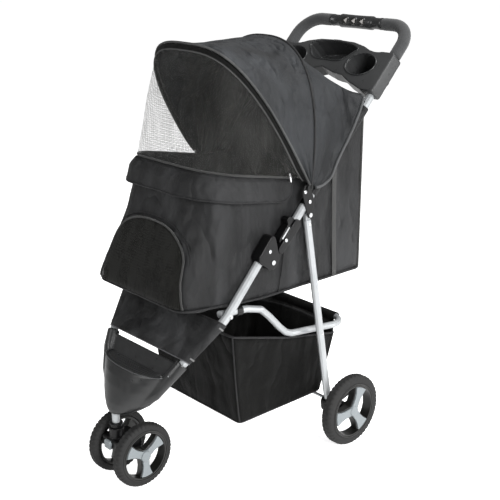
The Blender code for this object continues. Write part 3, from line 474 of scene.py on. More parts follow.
def strap(name, path, width, thickness, facing, material, body, slot_name="fabric"):
    """Flat webbing along a path, its face towards facing."""
    w, t = width / 2, thickness / 2
    section = [(-w, -t), (-w * 0.6, -t * 1.1), (w * 0.6, -t * 1.1), (w, -t), (w, t), (w * 0.6, t * 1.1)]
    section += [(-w * 0.6, t * 1.1), (-w, t)]
    return finished(sweep(name, path, section, material, up=facing), body, slot_name)


def grid_object(name, grid, material, weights=None):
    """An open sheet through a grid of points, with each row's turn weight kept for a blend."""
    bm = bmesh.new()
    layer = bm.verts.layers.float.new("turn") if weights else None
    rows = []
    for i, row in enumerate(grid):
        made = [bm.verts.new(p) for p in row]
        if weights:
            for v in made:
                v[layer] = weights[i]
        rows.append(made)
    bridge(bm, rows, open_rows=True)
    return new_object(name, bm, material, 0)


def blended(obj, a, b, start, end):
    """Blends across a joint, with each point's weight taken from its row in the sheet."""
    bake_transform(obj, a, b, start, end)
    turn = obj.data.attributes["turn"]
    weight = obj.data.attributes["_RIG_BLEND"]
    values = [0.0] * len(obj.data.vertices)
    turn.data.foreach_get("value", values)
    weight.data.foreach_set("value", [min(max(v, 0.0), 1.0) for v in values])
    obj.data.attributes.remove(obj.data.attributes["turn"])
    return obj


def rounded(node, name, body, slot_name, voxel=0.0016, smooth=4, material=None, keep=0.35):
    """A finer moulding of a CAD node: remeshed, its edges softened, then thinned."""
    obj = bpy.data.objects.new(name, NODES[node].data.copy())
    bpy.context.scene.collection.objects.link(obj)
    obj.data.materials.clear()
    obj.data.materials.append(material or MATERIALS[slot_name])
    softened(obj, voxel, smooth, keep)
    return finished(obj, body, slot_name, node)


def turned(name, profile, centre, material, axis=Vector((1, 0, 0)), segments=24, smooth=40):
    """An (along, radius) profile from one pole to the other, swept round an axis."""
    bm = bmesh.new()
    first = axis.orthogonal().normalized()
    second = axis.cross(first).normalized()
    rings = []
    for along, radius in profile:
        ring = []
        for angle in full_turn(segments):
            out = first * math.cos(angle) + second * math.sin(angle)
            ring.append(bm.verts.new(centre + axis * along + out * max(radius, 1e-5)))
        rings.append(ring)
    bridge(bm, rings, caps=True)
    return new_object(name, bm, material, smooth)


def rivet(name, x, y, z, radius, height, body, side, material=None):
    profile = [(0, radius), (height * 0.45, radius), (height * 0.8, radius * 0.75), (height, radius * 0.3)]
    out = Vector((side, 0, 0))
    obj = turned(name, profile, Vector((x, y, z)), material or MATERIALS["steel"], out, 16)
    return finished(obj, body, "steel")


def ripple(p, scale, amount, seed=0.0):
    return noise.noise(Vector((p.x * scale + seed, p.y * scale - seed, p.z * scale))) * amount


def sample(values, t):
    step = min(max(t, 0.0), 1.0) * (len(values) - 1)
    i = min(int(step), len(values) - 2)
    return values[i] + (values[i + 1] - values[i]) * (step - i)


def arc(centre, radius, start, end, steps):
    turn = [math.radians(start + (end - start) * i / steps) for i in range(steps + 1)]
    return [(centre[0] + radius * math.cos(a), centre[1] + radius * math.sin(a)) for a in turn]


def on_handle(x, s, n=0.0):
    return Vector((x, 0, 0)) + HANDLE_START + ALONG * s + UP * n


# ---- canopy ----
def hoop_point(section, half, u):
    lean, height, power = section
    c, s = math.cos(math.pi * u), math.sin(math.pi * u)
    x = half * math.copysign(abs(c) ** (2 / power), c)
    r = height * abs(s) ** (2 / power)
    return CANOPY_PIVOT + Vector((x, -r * math.sin(lean), r * math.cos(lean)))


def hoop_edge(section, columns, clear=0.010, half=CANOPY_HALF, grow=0.0):
    lean, height, power = section
    turn = [0.5 - 0.5 * math.cos(math.pi * k / 160) for k in range(161)]
    fine = [hoop_point((lean, height + grow, power), half + grow, u) for u in turn]
    return along_path([p for p in fine if p.z > CANOPY_PIVOT.z + clear], columns + 1)


def canopy_sheet(first, last, rows, sag, pleat, seed):
    """Cloth between two edges: sags between them, with soft pleats that gather at the pivots."""
    grid = []
    columns = len(first)
    for k in range(rows):
        t = k / (rows - 1)
        hang = 4 * t * (1 - t)
        row = []
        for j, (a, b) in enumerate(zip(first, last)):
            p = a.lerp(b, t)
            around = j / (columns - 1)
            top = math.sin(math.pi * around)
            inward = (Vector((0, p.y, CANOPY_PIVOT.z + 0.05)) - p).normalized()
            low = (1 - top) ** 2
            wave = math.sin(t * 4 * math.pi + 3 * noise.noise(Vector((around * 5, seed, 0)))) * pleat * low
            drift = ripple(p, 9, 0.0060, seed) + ripple(p, 24, 0.0028, seed + 4)
            row.append(p + inward * (hang * (sag * (0.35 + 0.65 * top) + wave + drift)))
        grid.append(row)
    return grid


def build_canopy():
    columns = 96
    split = math.radians(0.7)
    front = hoop_edge(HOOP_FRONT, columns)
    mid_front = hoop_edge((HOOP_MID[0] + split, *HOOP_MID[1:]), columns)
    mid_rear = hoop_edge((HOOP_MID[0] - split, *HOOP_MID[1:]), columns)
    half_edge = [Vector(p) for p in CANOPY_EDGE]
    mirrored = [Vector((-p.x, p.y, p.z)) for p in half_edge[-2::-1]]
    rear = along_path(smooth_path(half_edge + mirrored), columns + 1)
    front_top, mid_top, rear_top = (edge[columns // 2] for edge in (front, mid_front, rear))

    rows = 15
    weights = [1 - k / (rows - 1) for k in range(rows)]
    grid = canopy_sheet(front, mid_front, rows, 0.007, 0.005, 2.0)
    panel = thick(grid_object("canopy_front_panel", grid, CANOPY_CLOTH, weights), 0.0014)
    blended(panel, "hood_mid", "hood_front", mid_top, front_top)
    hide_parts("canopy_front")

    rows = 19
    weights = [1 - k / (rows - 1) for k in range(rows)]
    grid = canopy_sheet(mid_rear, rear, rows, 0.006, 0.006, 7.0)
    panel = thick(grid_object("canopy_rear_panel", grid, CANOPY_CLOTH, weights), 0.0014)
    blended(panel, "handle", "hood_mid", rear_top, mid_top)
    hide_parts("canopy_rear")

    lip = hoop_edge((HOOP_FRONT[0] + math.radians(0.4), *HOOP_FRONT[1:]), 120, 0.004, grow=0.001)
    cordlike("canopy_front_piping", lip, 0.0026, LIP, "hood_front")

    ridge = hoop_edge(HOOP_MID, 120, 0.004, grow=0.0012)
    cordlike("canopy_mid_piping", ridge, 0.0026, PIPING, "hood_mid")
    hem = [p + Vector((0.0012 * (1 if p.x > 0 else -1), 0, 0)) for p in rear]
    cordlike("canopy_rear_piping", hem, 0.0031, PALE_PIPING, "handle")
    build_sleeves()

    # net dome from the front hoop down to the cabin's rim
    front_top_section = (HOOP_FRONT[0] + math.radians(0.9), HOOP_FRONT[1] - 0.002, HOOP_FRONT[2])
    top = hoop_edge(front_top_section, columns, half=CANOPY_HALF - 0.002)
    rim = rim_path(columns + 1, 0.002)
    rows = 22
    grid = []
    for k in range(rows):
        t = k / (rows - 1)
        row = []
        for j, (a, b) in enumerate(zip(top, rim)):
            p = a.lerp(b + Vector((0, 0, 0.002)), t)
            out = Vector((p.x, p.y - 0.02, 0)).normalized()
            row.append(p + out * 4 * t * (1 - t) * (0.003 + ripple(p, 11, 0.003, 3.0)))
        grid.append(row)
    net = thick(grid_object("canopy_net", grid, MATERIALS["mesh"]), 0.0008)
    finished(net, "hood_front", "mesh", "canopy_mesh")
    facing = []
    for k in range(4):
        row = []
        for j in range(columns + 1):
            a, b = grid[0][j], grid[-1][j]
            drop = (b - a).normalized() * min(0.011 * k / 3, (b - a).length * 0.4)
            row.append(a + drop + Vector((a.x * 0.008, -0.0016, 0.0006)))
        facing.append(row)
    band = thick(grid_object("canopy_facing", facing, BASKET_CLOTH), 0.0012)
    finished(band, "hood_front", "fabric")
    inner_edge = cordlike("canopy_facing_zip", facing[-1], 0.0017, LIP, "hood_front")
    for piece in (net, band, inner_edge):
        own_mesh(piece)


def build_sleeves():
    """Cloth round each handle tube, and the gusset that closes it to the canopy."""
    for name, side in SIDES:
        line = [on_handle(side * HANDLE_X, 0.036 + 0.236 * k / 40) for k in range(41)]
        slack = [p + Vector((0, ripple(p, 30, 0.0008, 31.0), ripple(p, 24, 0.0012, 33.0))) for p in line]
        cordlike("tube_sleeve_" + name, slack, 0.0120, MATERIALS["fabric"], "handle", count=20)
        edge = along_path(smooth_path([Vector((side * x, y, z)) for x, y, z in CANOPY_EDGE[1:8]]), 30)
        rows = []
        for k in range(5):
            t = k / 4
            row = []
            for p in edge:
                s = (p - HANDLE_START).dot(ALONG)
                root = on_handle(side * (HANDLE_X + 0.004), s, 0.0100)
                slack = Vector((ripple(p, 20, 0.002, 35.0) * t * (1 - t), 0, 0))
                row.append(root.lerp(p - Vector((side * 0.0012, 0, 0)), t) + slack)
            rows.append(row)
        gusset = thick(grid_object("canopy_gusset_" + name, rows, MATERIALS["fabric"]), 0.0012)
        finished(gusset, "handle", "fabric")


# ---- cabin ----
def rim_height(y):
    if y <= RIM_START_Y:
        t = (RIM_START_Y - y) / (RIM_START_Y - CABIN_FRONT_Y[-1])
        return RIM_REAR_Z + (RIM_FRONT_Z - RIM_REAR_Z) * min(t, 1)
    top = HANDLE_START.z + (y - HANDLE_START.y) * math.tan(HANDLE_TILT)
    return max(RIM_REAR_Z, top - 0.004)


def cabin_outline(t, out=0.0, corner=10):
    """Closed plan outline at height t, from the middle of the back round the left side."""
    front = sample(CABIN_FRONT_Y, t) - out - 0.010 * math.exp(-(((t - 0.09) / 0.13) ** 2))
    half, rear = CABIN_HALF + out, CABIN_REAR_Y + out
    r, back_r = sample(CABIN_CORNER_R, t) + out, 0.014 + out
    points = [(0, rear), *arc((half - back_r, rear - back_r), back_r, 90, 0, 4)]
    points += [(half, y) for y in (0.20, 0.15, 0.10, 0.05, 0.0, -0.05, -0.08)]
    points += arc((half - r, front + r), r, 0, -90, corner)
    points += [(x, front) for x in (0.05, 0.02)]
    mirrored = [(-x, y) for x, y in reversed(points[1:])]
    return points + [(0, front)] + mirrored


def rim_path(count, out=0.0):
    """Points evenly spaced along the front rim, from the left canopy pivot round to the right one."""
    ring = [Vector((x, y, 0)) for x, y in cabin_outline(1.0, out) if y < RIM_START_Y - 0.001]
    ends = [Vector((side * (CABIN_HALF + out), RIM_START_Y, 0)) for side in (1, -1)]
    points = along_path([ends[0], *ring, ends[1]], count)
    return [Vector((p.x, p.y, rim_height(p.y))) for p in points]


def front_lift(y):
    """How far the bottom edge rises towards the front."""
    t = min(max((-0.13 - y) / 0.15, 0.0), 1.0)
    return 0.018 * t * t * (3 - 2 * t)


def build_cabin():
    bm = bmesh.new()
    rows = []
    levels = 25
    around = 264
    for k in range(levels):
        t = k / (levels - 1)
        outline = [Vector((x, y, 0)) for x, y in cabin_outline(t)]
        ring = along_path([*outline, outline[0]], around + 1)[:-1]
        made = []
        for p in ring:
            p.z = CABIN_FLOOR_Z + (rim_height(p.y) - CABIN_FLOOR_Z) * t + front_lift(p.y) * (1 - t) ** 3
            out = Vector((p.x / CABIN_HALF, p.y / 0.26, 0)).normalized()
            slack = math.sin(math.pi * min(t * 1.02, 1)) * (1 if p.y < 0.20 else 0.4)
            hanging = Vector((p.x, p.y, p.z * 0.22))
            soft = ripple(p, 7, 0.0065, 1.0) + ripple(p, 17, 0.0040, 5.0) + ripple(hanging, 21, 0.0060, 9.0)
            soft += abs(ripple(hanging, 33, 0.0060, 19.0)) + ripple(p, 46, 0.0012, 27.0) - 0.0015
            hold = 0.25 if abs(p.x) > CABIN_HALF - 0.004 and -0.12 < p.y < 0.02 else 1.0
            made.append(bm.verts.new(p + out * (slack * hold * (soft - 0.0008))))
        rows.append(made)
    bridge(bm, rows)
    inner = [bm.verts.new(Vector((v.co.x * 0.5, v.co.y * 0.5, CABIN_FLOOR_Z - 0.002))) for v in rows[0]]
    for i in range(around):
        j = (i + 1) % around
        bm.faces.new((rows[0][j], rows[0][i], inner[i], inner[j]))
    bm.faces.new(inner)
    shell = thick(new_object("cabin_shell", bm, MATERIALS["fabric"], 0), 0.0018, -1)
    finished(shell, "front_frame", "fabric", "cabin")

    pieces = [shell]

    def line(name, path, radius, material=PIPING, count=8):
        obj = cordlike(name, path, radius, material, "front_frame", count=count)
        pieces.append(obj)
        return obj

    rim = rim_path(150, 0.001)
    line("cabin_rim_zip", [p + Vector((0, 0, 0.001)) for p in rim], 0.0026, ZIP_TAPE)
    low_zip = [Vector((p.x * 1.01, p.y * 1.01, p.z - 0.009)) for p in rim_path(150, 0.0015)]
    line("cabin_rim_piping", low_zip, 0.0021)

    # the flap that covers the zip
    columns, drop = 150, 0.046
    start = rim_path(columns, 0.0030)
    rows = []
    for k in range(9):
        t = k / 8
        row = []
        for j, p in enumerate(start):
            u = j / (columns - 1)
            end = min(u, 1 - u) * 18
            reach = drop * (1 - (1 - min(end, 1)) ** 2) ** 0.5 if end < 1 else drop
            z = p.z - 0.006 - max(reach, 0.004) * t
            share = (z - CABIN_FLOOR_Z) / (rim_height(p.y) - CABIN_FLOOR_Z)
            lean = (sample(CABIN_FRONT_Y, share) - CABIN_FRONT_Y[-1]) if p.y < -0.1 else 0
            wave = 0.0022 * t * math.sin(u * 46 + 2 * math.sin(u * 17)) + ripple(p, 12, 0.003, 6.0) * t
            out = Vector((p.x, p.y + 0.02, 0)).normalized()
            forward = lean * min((-p.y - 0.1) / 0.08, 1) if p.y < -0.1 else 0.0
            q = Vector((p.x, p.y + forward, z))
            ahead = min(max((-p.y - 0.05) / 0.12, 0.0), 1.0)
            row.append(q + out * (0.0022 + 0.0100 * ahead * min(t * 3, 1) + 0.0040 * t + wave))
        rows.append(row)
    flap = thick(grid_object("cabin_flap", rows, MATERIALS["fabric"]), 0.0016)
    finished(flap, "front_frame", "fabric")
    pieces.append(flap)
    edge = [row[0] for row in rows][:-1] + rows[-1] + [row[-1] for row in rows[::-1]][1:]
    line("cabin_flap_piping", edge, 0.0019)

    bottom = [Vector((x, y, CABIN_FLOOR_Z - 0.001)) for x, y in cabin_outline(0.0, 0.0015)]
    bottom = [p + Vector((0, 0, ripple(p, 22, 0.0014, 41.0))) for p in bottom]
    bottom = [p + Vector((0, 0, front_lift(p.y))) for p in bottom]
    ring = along_path([*bottom, bottom[0]], 181)[:-1]
    base = sweep("cabin_bottom_piping", ring, round_section(0.0026, 8), PIPING, closed=True)
    pieces.append(finished(base, "front_frame", "fabric"))

    # front window: an arch of net in a zip frame
    def front_at(x, z, out):
        t = (z - CABIN_FLOOR_Z) / (RIM_FRONT_Z - CABIN_FLOOR_Z)
        outline = [p for p in cabin_outline(t, out, 16) if p[1] < -0.02]
        reach = 0.0
        path = along_path([Vector((a, b, 0)) for a, b in outline], 201)
        half_length = sum((q - p).length for p, q in zip(path, path[1:])) / 2
        goal = half_length - x
        for p, q in zip(path, path[1:]):
            step = (q - p).length
            if reach + step >= goal:
                r = p.lerp(q, (goal - reach) / step)
                return Vector((r.x, r.y, z))
            reach += step
        return Vector((path[-1].x, path[-1].y, z))

    half_window, sill, crown = 0.129, CABIN_FLOOR_Z + 0.023, CABIN_FLOOR_Z + 0.176
    spring = crown - 0.092
    columns = 44
    grid = []
    for k in range(17):
        t = k / 16
        row = []
        for j in range(columns + 1):
            u = 2 * j / columns - 1
            top = spring + (crown - spring) * math.sqrt(max(0.0, 1 - abs(u) ** 2.6))
            z = sill + (top - sill) * t
            stand_off = 0.0066 + 0.002 * math.sin(math.pi * t) * (1 - u * u)
            row.append(front_at(-u * (half_window + 0.022 * (1 - t) ** 1.2), z, stand_off))
        grid.append(row)
    window = thick(grid_object("cabin_window_net", grid, WINDOW_NET), 0.0010)
    finished(window, "front_frame", "mesh")
    pieces.append(window)
    frame_line = [row[0] for row in grid] + grid[-1][1:-1] + [row[-1] for row in grid[::-1]]
    line("cabin_window_zip", [p + Vector((0, -0.001, 0)) for p in frame_line], 0.0023, ZIP_TAPE)
    arch, margin = spring + 0.008, 0.0028
    bead = []
    for j in range(81):
        u = 2 * j / 80 - 1
        z = sill + (arch + (crown - spring) * math.sqrt(max(0.0, 1 - abs(u) ** 2.6)) - sill)
        bead.append(front_at(-u * (half_window + 0.008), z, margin))
    sides = []
    for s in (1, -1):
        widths = [half_window + 0.007 + 0.022 * (1 - k / 8) ** 2 for k in range(8)]
        sides.append([front_at(s * w, sill + (arch - sill) * k / 8, margin) for k, w in enumerate(widths)])
    line("cabin_window_piping", sides[0] + bead + sides[1][::-1], 0.0014)

    # side seams, webbing and the back corners' binding
    for name, side in SIDES:
        def put(points, out=0.0012):
            return [Vector((side * (CABIN_HALF + out), y, z)) for y, z in points]

        seam = smooth_path(put([(-0.008, 0.500), (-0.014, 0.46), (-0.024, CABIN_FLOOR_Z)], 0.0030))
        line("cabin_side_seam_" + name, seam, 0.0012)
        belt = [(0.143, 0.690), (0.145, 0.60), (0.148, 0.50), (0.152, CABIN_FLOOR_Z - 0.002)]
        belt = smooth_path(put(belt, 0.0046))
        outward = Vector((side, 0, 0))
        pieces.append(strap("cabin_webbing_" + name, belt, 0.013, 0.0016, outward, WEBBING, "front_frame"))
        top = rim_height(CABIN_REAR_Y - 0.010)
        levels = (CABIN_FLOOR_Z, 0.55, 0.68, top - 0.01)
        corner = [Vector((side * (CABIN_HALF - 0.0035), CABIN_REAR_Y - 0.0035, z)) for z in levels]
        line("cabin_corner_binding_" + name, smooth_path(corner), 0.0036, ZIP_TAPE)
        stations = [0.03 + 0.2 * k / 12 for k in range(13)]
        slope = [Vector((side * (CABIN_HALF - 0.0005), y, rim_height(y) + 0.001)) for y in stations]
        line("cabin_side_rim_" + name, slope, 0.0022)
        hung = Vector((side * (CABIN_HALF + 0.006), 0.004, 0.672))
        puller = turned("zip_pull_" + name, [(0, 0.0022), (0.010, 0.0030), (0.020, 0.0018)], hung, CHROME,
                        Vector((0, 0.2, -0.98)).normalized(), 10)
        pieces.append(finished(puller, "front_frame", "steel"))

    # padded mat
    build_mat()

    for piece in pieces:
        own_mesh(piece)


def swollen(obj, voxel, pressure, cap, frames=20):
    """Blows a closed form up into a padded one with a short cloth simulation, its moves capped."""
    remesh = obj.modifiers.new("remesh", "REMESH")
    remesh.mode = "VOXEL"
    remesh.voxel_size = voxel
    baked(obj)
    rest = [v.co.copy() for v in obj.data.vertices]
    cloth = obj.modifiers.new("cloth", "CLOTH")
    cloth.settings.use_pressure = True
    cloth.settings.uniform_pressure_force = pressure
    cloth.settings.effector_weights.gravity = 0
    cloth.point_cache.frame_start = 1
    cloth.point_cache.frame_end = frames
    scene = bpy.context.scene
    for step in range(1, frames + 1):
        scene.frame_set(step)
    baked(obj)
    scene.frame_set(1)
    for v, home in zip(obj.data.vertices, rest):
        move = v.co - home
        if move.length > cap:
            v.co = home + move.normalized() * cap
    obj.data.shade_smooth()
    return subdivided(obj, 1)


def build_mat():
    low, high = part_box("cabin_mat")
    bm = bmesh.new()
    rows = []
    for z, inset in ((low[2] + 0.003, 0.004), (low[2] + 0.010, 0.002), (high[2] - 0.006, 0.005)):
        outline = [Vector((x * 0.93, y * 0.955, z)) for x, y in cabin_outline(0.05, -inset)]
        rows.append([bm.verts.new(p) for p in along_path([*outline, outline[0]], 97)[:-1]])
    bridge(bm, rows, caps=True)
    mat = swollen(new_object("cabin_mat_pad", bm, MATERIALS["mat_fabric"], 0), 0.006, 4.0, 0.006)
    for v in mat.data.vertices:
        v.co.z = min(max(v.co.z, low[2] + 0.0005), high[2] + 0.004)
        quilt = math.sin(v.co.x * 2 * math.pi / 0.10) * math.sin(v.co.y * 2 * math.pi / 0.10)
        if v.co.z > high[2] - 0.008:
            v.co.z += 0.0022 * abs(quilt) ** 0.5
    finished(mat, "front_frame", "mat_fabric", "cabin_mat")


build_canopy()
build_cabin()


# ---- basket and calf panel ----
BASKET_TOP_Z, BASKET_FLOOR_Z = 0.255, 0.112


def basket_lift(y, t, front, rear):
    """How far the basket's wall stands above its rear corners at height share t."""
    if y < 0.012:
        return t * t * (0.031 + 0.047 * (0.012 - y) / (0.012 - front))
    return t * t * 0.031 * max(rear - y, 0.0) / (rear - 0.012)


def build_basket():
    half_top, half_floor = 0.150, 0.138
    rear_top, rear_floor = 0.170, 0.137
    front_top, front_floor = -0.152, -0.121
    levels, around = 17, 150
    bm = bmesh.new()
    rows = []
    corner_lines = [[], [], [], []]
    for k in range(levels):
        t = k / (levels - 1)
        half = half_floor + (half_top - half_floor) * t
        rear = rear_floor + (rear_top - rear_floor) * t
        front = front_floor + (front_top - front_floor) * t
        base = BASKET_FLOOR_Z + (BASKET_TOP_Z - BASKET_FLOOR_Z) * t
        r = 0.010
        plan = arc((half - r, rear - r), r, 90, 0, 5) + arc((half - r, front + r), r, 0, -90, 5)
        plan += [(-x, y) for x, y in reversed(plan)]
        ring = along_path([*[Vector((x, y, 0)) for x, y in plan], Vector((*plan[0], 0))], around + 1)[:-1]
        made = []
        for p in ring:
            p.z = base + basket_lift(p.y, t, front, rear)
            on_end = min(abs(p.y - rear), abs(p.y - front)) < 0.012
            away = abs(half - abs(p.x)) if on_end else min(abs(p.y - rear), abs(p.y - front))
            loose = min(away / 0.05, 1.0) * math.sin(math.pi * min(max(t, 0.04), 0.98))
            out = Vector((p.x / half, (p.y - 0.02) / 0.17, 0))
            out = Vector((out.x, 0, 0)) if abs(out.x) > abs(out.y) else Vector((0, out.y, 0))
            soft = ripple(p, 8, 0.006, 11.0) + ripple(p, 21, 0.0035, 13.0) - 0.003
            belly = t * (1 - (p.x / half) ** 2) if abs(p.y - rear) < 0.012 else 0.0
            bulge = Vector((0, 0.024 * belly, 0.007 * belly))
            made.append(bm.verts.new(p + out.normalized() * loose * soft + bulge))
        rows.append(made)
        for i, (x, y) in enumerate(((half, rear), (half, front), (-half, front), (-half, rear))):
            z = base + basket_lift(y, t, front, rear)
            inward = 0.0022
            seam_x, seam_y = x - math.copysign(inward, x), y - math.copysign(inward, y - 0.02)
            corner_lines[i].append(Vector((seam_x, seam_y, z)))
    bridge(bm, rows)
    bm.faces.new(rows[0])
    rim = [v.co.copy() for v in rows[-1]]
    foot = [v.co.copy() for v in rows[0]]
    bag = thick(new_object("basket_bag", bm, BASKET_CLOTH, 0), 0.0016, -1)
    finished(bag, "seat_link", "fabric", "basket")
    pieces = [bag]
    for i, corner in enumerate(corner_lines):
        pieces.append(cordlike(f"basket_seam_{i}", corner, 0.0018, PIPING, "seat_link"))
    hem = sweep("basket_hem", rim, round_section(0.0026, 8), PIPING, closed=True)
    pieces.append(finished(hem, "seat_link", "fabric"))
    base = sweep("basket_base_piping", foot, round_section(0.0017, 8), PIPING, closed=True)
    pieces.append(finished(base, "seat_link", "fabric"))
    bar_y, bar_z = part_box("seat_tube")[1][1] - LINK_R, 0.2715
    rows = []
    for k in range(15):
        t = k / 14
        row = []
        for j in range(61):
            u = 2 * j / 60 - 1
            a = math.radians(-60 + 300 * max(t - 0.3, 0) / 0.7)
            reach = LINK_R + 0.0022
            belly = 1 - u * u
            start = Vector((u * 0.146, 0.168 + 0.024 * belly, BASKET_TOP_Z - 0.003 + 0.007 * belly))
            wrap = Vector((u * 0.112, bar_y - reach * math.cos(a), bar_z + reach * math.sin(a)))
            first = Vector((u * 0.112, bar_y - reach * 0.5, bar_z - reach * 0.87))
            row.append(start.lerp(first, t / 0.3) if t < 0.3 else wrap)
        rows.append(row)
    sling = thick(grid_object("basket_rear_sling", rows, BASKET_CLOTH), 0.0014)
    finished(sling, "seat_link", "fabric")
    for piece in pieces:
        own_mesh(piece)


def front_leg_points(side):
    straight = [(HANDLE_X, -0.0660, 0.5248), (HANDLE_X, -0.1300, 0.4534), (HANDLE_X, -0.1790, 0.3986)]
    bend = [(0.1672, -0.1890, 0.3872), (0.1625, -0.1985, 0.3766)]
    foot = [(0.1136, -0.2943, 0.2715)]
    return [Vector((side * x, y, z)) for x, y, z in straight + bend + foot]


def build_calf_panel():
    """Cloth laced round both front legs, taut between them."""
    top, foot = front_leg_points(1)[4], front_leg_points(1)[5]
    down = (foot - top).normalized()
    ahead = Vector((0, down.z, -down.y)).normalized()
    ahead = -ahead if ahead.y > 0 else ahead
    start, end = top - down * 0.006, foot - down * 0.046
    grid = []
    rows, columns = 21, 60
    wrap = TUBE_R + 0.0016
    for k in range(rows):
        t = k / (rows - 1)
        centre = start.lerp(end, t)
        row = []
        for j in range(columns + 1):
            u = 2 * j / columns - 1
            flat = Vector((centre.x * u, centre.y, centre.z)) + ahead * wrap
            sink = (1 - u * u) ** 2 * 0.004 * math.sin(math.pi * t)
            flat -= ahead * (sink + ripple(flat, 16, 0.0012, 21.0))
            row.append(flat)
        for side in (1, -1):
            turns = []
            for step in range(1, 9):
                a = math.radians(20 * step)
                axis = Vector((side * centre.x, centre.y, centre.z))
                turns.append(axis + ahead * wrap * math.cos(a) + Vector((side, 0, 0)) * wrap * math.sin(a))
            row = [*row, *turns] if side == 1 else [*turns[::-1], *row]
        grid.append(row)
    panel = thick(grid_object("calf_cloth", grid, MATERIALS["fabric"]), 0.0014)
    finished(panel, "front_frame", "fabric", "calf_panel")
    for name, row in (("top", grid[0]), ("bottom", grid[-1])):
        thread = STITCH if name == "bottom" else PIPING
        cordlike("calf_hem_" + name, row, 0.0013, thread, "front_frame", count=6)
    for name, side in SIDES:
        for k, t in enumerate((0.10, 0.90)):
            centre = start.lerp(end, t)
            axis = Vector((side * centre.x, centre.y, centre.z))
            out, reach = Vector((side, 0, 0)), wrap + 0.002
            turns = [math.radians(60 + 14 * i) for i in range(8)]
            tab = [axis + ahead * reach * math.cos(a) + out * reach * math.sin(a) for a in turns]
            sidewise = Vector((side * down.x, down.y, down.z))
            strap(f"calf_tab_{name}_{k}", tab, 0.0035, 0.0012, sidewise.cross(ahead), TAB, "front_frame")


# ---- footrest ----
BOWL = (  # (z, half width, front y, back y) of the smooth bowl
    (0.1700, 0.020, -0.3690, -0.3430), (0.1745, 0.034, -0.3715, -0.3340), (0.1820, 0.050, -0.3710, -0.3220),
    (0.1950, 0.067, -0.3680, -0.3120), (0.2100, 0.080, -0.3630, -0.3050), (0.2300, 0.092, -0.3560, -0.2990),
    (0.2500, 0.099, -0.3470, -0.2970), (0.2680, 0.1015, -0.3360, -0.3000),
)
# the front of the cast bowl at the same levels, as the part has it
CAST_FRONT = (-0.378, -0.379, -0.382, -0.385, -0.386, -0.387, -0.386, -0.384)


def bowl_front(z):
    z = min(max(z, BOWL[0][0]), BOWL[-1][0])
    k = max(i for i in range(len(BOWL) - 1) if BOWL[i][0] <= z + 1e-9)
    share = (z - BOWL[k][0]) / (BOWL[k + 1][0] - BOWL[k][0])
    fronts = [row[2] for row in BOWL]
    return [row[k] + (row[k + 1] - row[k]) * share for row in (fronts, CAST_FRONT)]


def moulded_back(p):
    """The bowl's front slopes back towards its rim."""
    if p.y > -0.296:
        return p
    front, cast = bowl_front(p.z)
    return Vector((p.x, -0.296 + (p.y + 0.296) * (front + 0.004 + 0.296) / (cast + 0.296), p.z))


def bowl_edge(level, count=36):
    """The bowl's front edge at one level, from its far end round to the near one."""
    z, half, front, rear = level
    points = []
    for k in range(count + 1):
        u = math.cos(math.pi - math.pi * k / count)
        points.append(Vector((half * u, rear + (front - rear) * (1 - abs(u) ** 2.3) ** 0.5, z)))
    return points


def build_footrest():
    node = NODES["footrest_shell"]
    mesh = node.data.copy()
    mesh.transform(node.matrix_world)
    for vertex in mesh.vertices:
        vertex.co = moulded_back(vertex.co)
    bm = bmesh.new()
    bm.from_mesh(mesh)
    rows = [[bm.verts.new(q) for q in bowl_edge(level)] for level in BOWL]
    bridge(bm, rows)
    bm.faces.new(rows[0][::-1])
    bm.faces.new(rows[-1])
    bm.to_mesh(mesh)
    bm.free()
    mesh.materials.clear()
    mesh.materials.append(SHELL_PLASTIC)
    shell = bpy.data.objects.new("footrest_moulding", mesh)
    bpy.context.scene.collection.objects.link(shell)
    softened(shell, 0.0017, 9)
    finished(shell, "front_frame", "black_plastic", "footrest_shell")
    # a paler cord along the bowl's rim: a painted highlight on its edge
    rim_highlight_line = [q + Vector((0, 0.0006, 0.0002)) for q in bowl_edge(BOWL[-1])]
    rim = sweep("footrest_rim_line", rim_highlight_line, round_section(0.0014, 8), PAINTED_RIM_HIGHLIGHT)
    finished(rim, "front_frame", "black_plastic")
    ribs = 7
    steps = ribs * 6
    front = [Vector((q.x * 0.95, q.y + 0.003, 0)) for q in bowl_edge(BOWL[-1])]
    back = [Vector((q.x * 0.93, -0.292 + 0.010 * (1 - (q.x / 0.1) ** 2), 0)) for q in front]
    bm = bmesh.new()
    rows = []
    for k in range(steps + 1):
        t = k / steps
        rise = BOWL[-1][0] + 0.0006 + 0.0014 * (0.5 + 0.5 * math.cos(2 * math.pi * ribs * t)) ** 2
        rows.append([bm.verts.new(Vector((*a.lerp(b, t).xy, rise))) for a, b in zip(front, back)])
    bridge(bm, rows, open_rows=True)
    tread = thick(new_object("footrest_ribs", bm, SHELL_PLASTIC, 0), 0.0016, -1)
    finished(tread, "front_frame", "black_plastic", "footrest_tread")


# ---- handle, grip and tray ----
def handle_path(side, start, end_x, steps=14):
    r = HANDLE_CORNER_R
    corner = arc((HANDLE_X - r, HANDLE_LENGTH - r), r, 0, 90, steps)
    line = [(HANDLE_X, start), (HANDLE_X, (start + HANDLE_LENGTH - r) / 2), *corner]
    line += [((HANDLE_X - r + end_x) / 2, HANDLE_LENGTH), (end_x, HANDLE_LENGTH)]
    return [on_handle(side * x, s) for x, s in line]


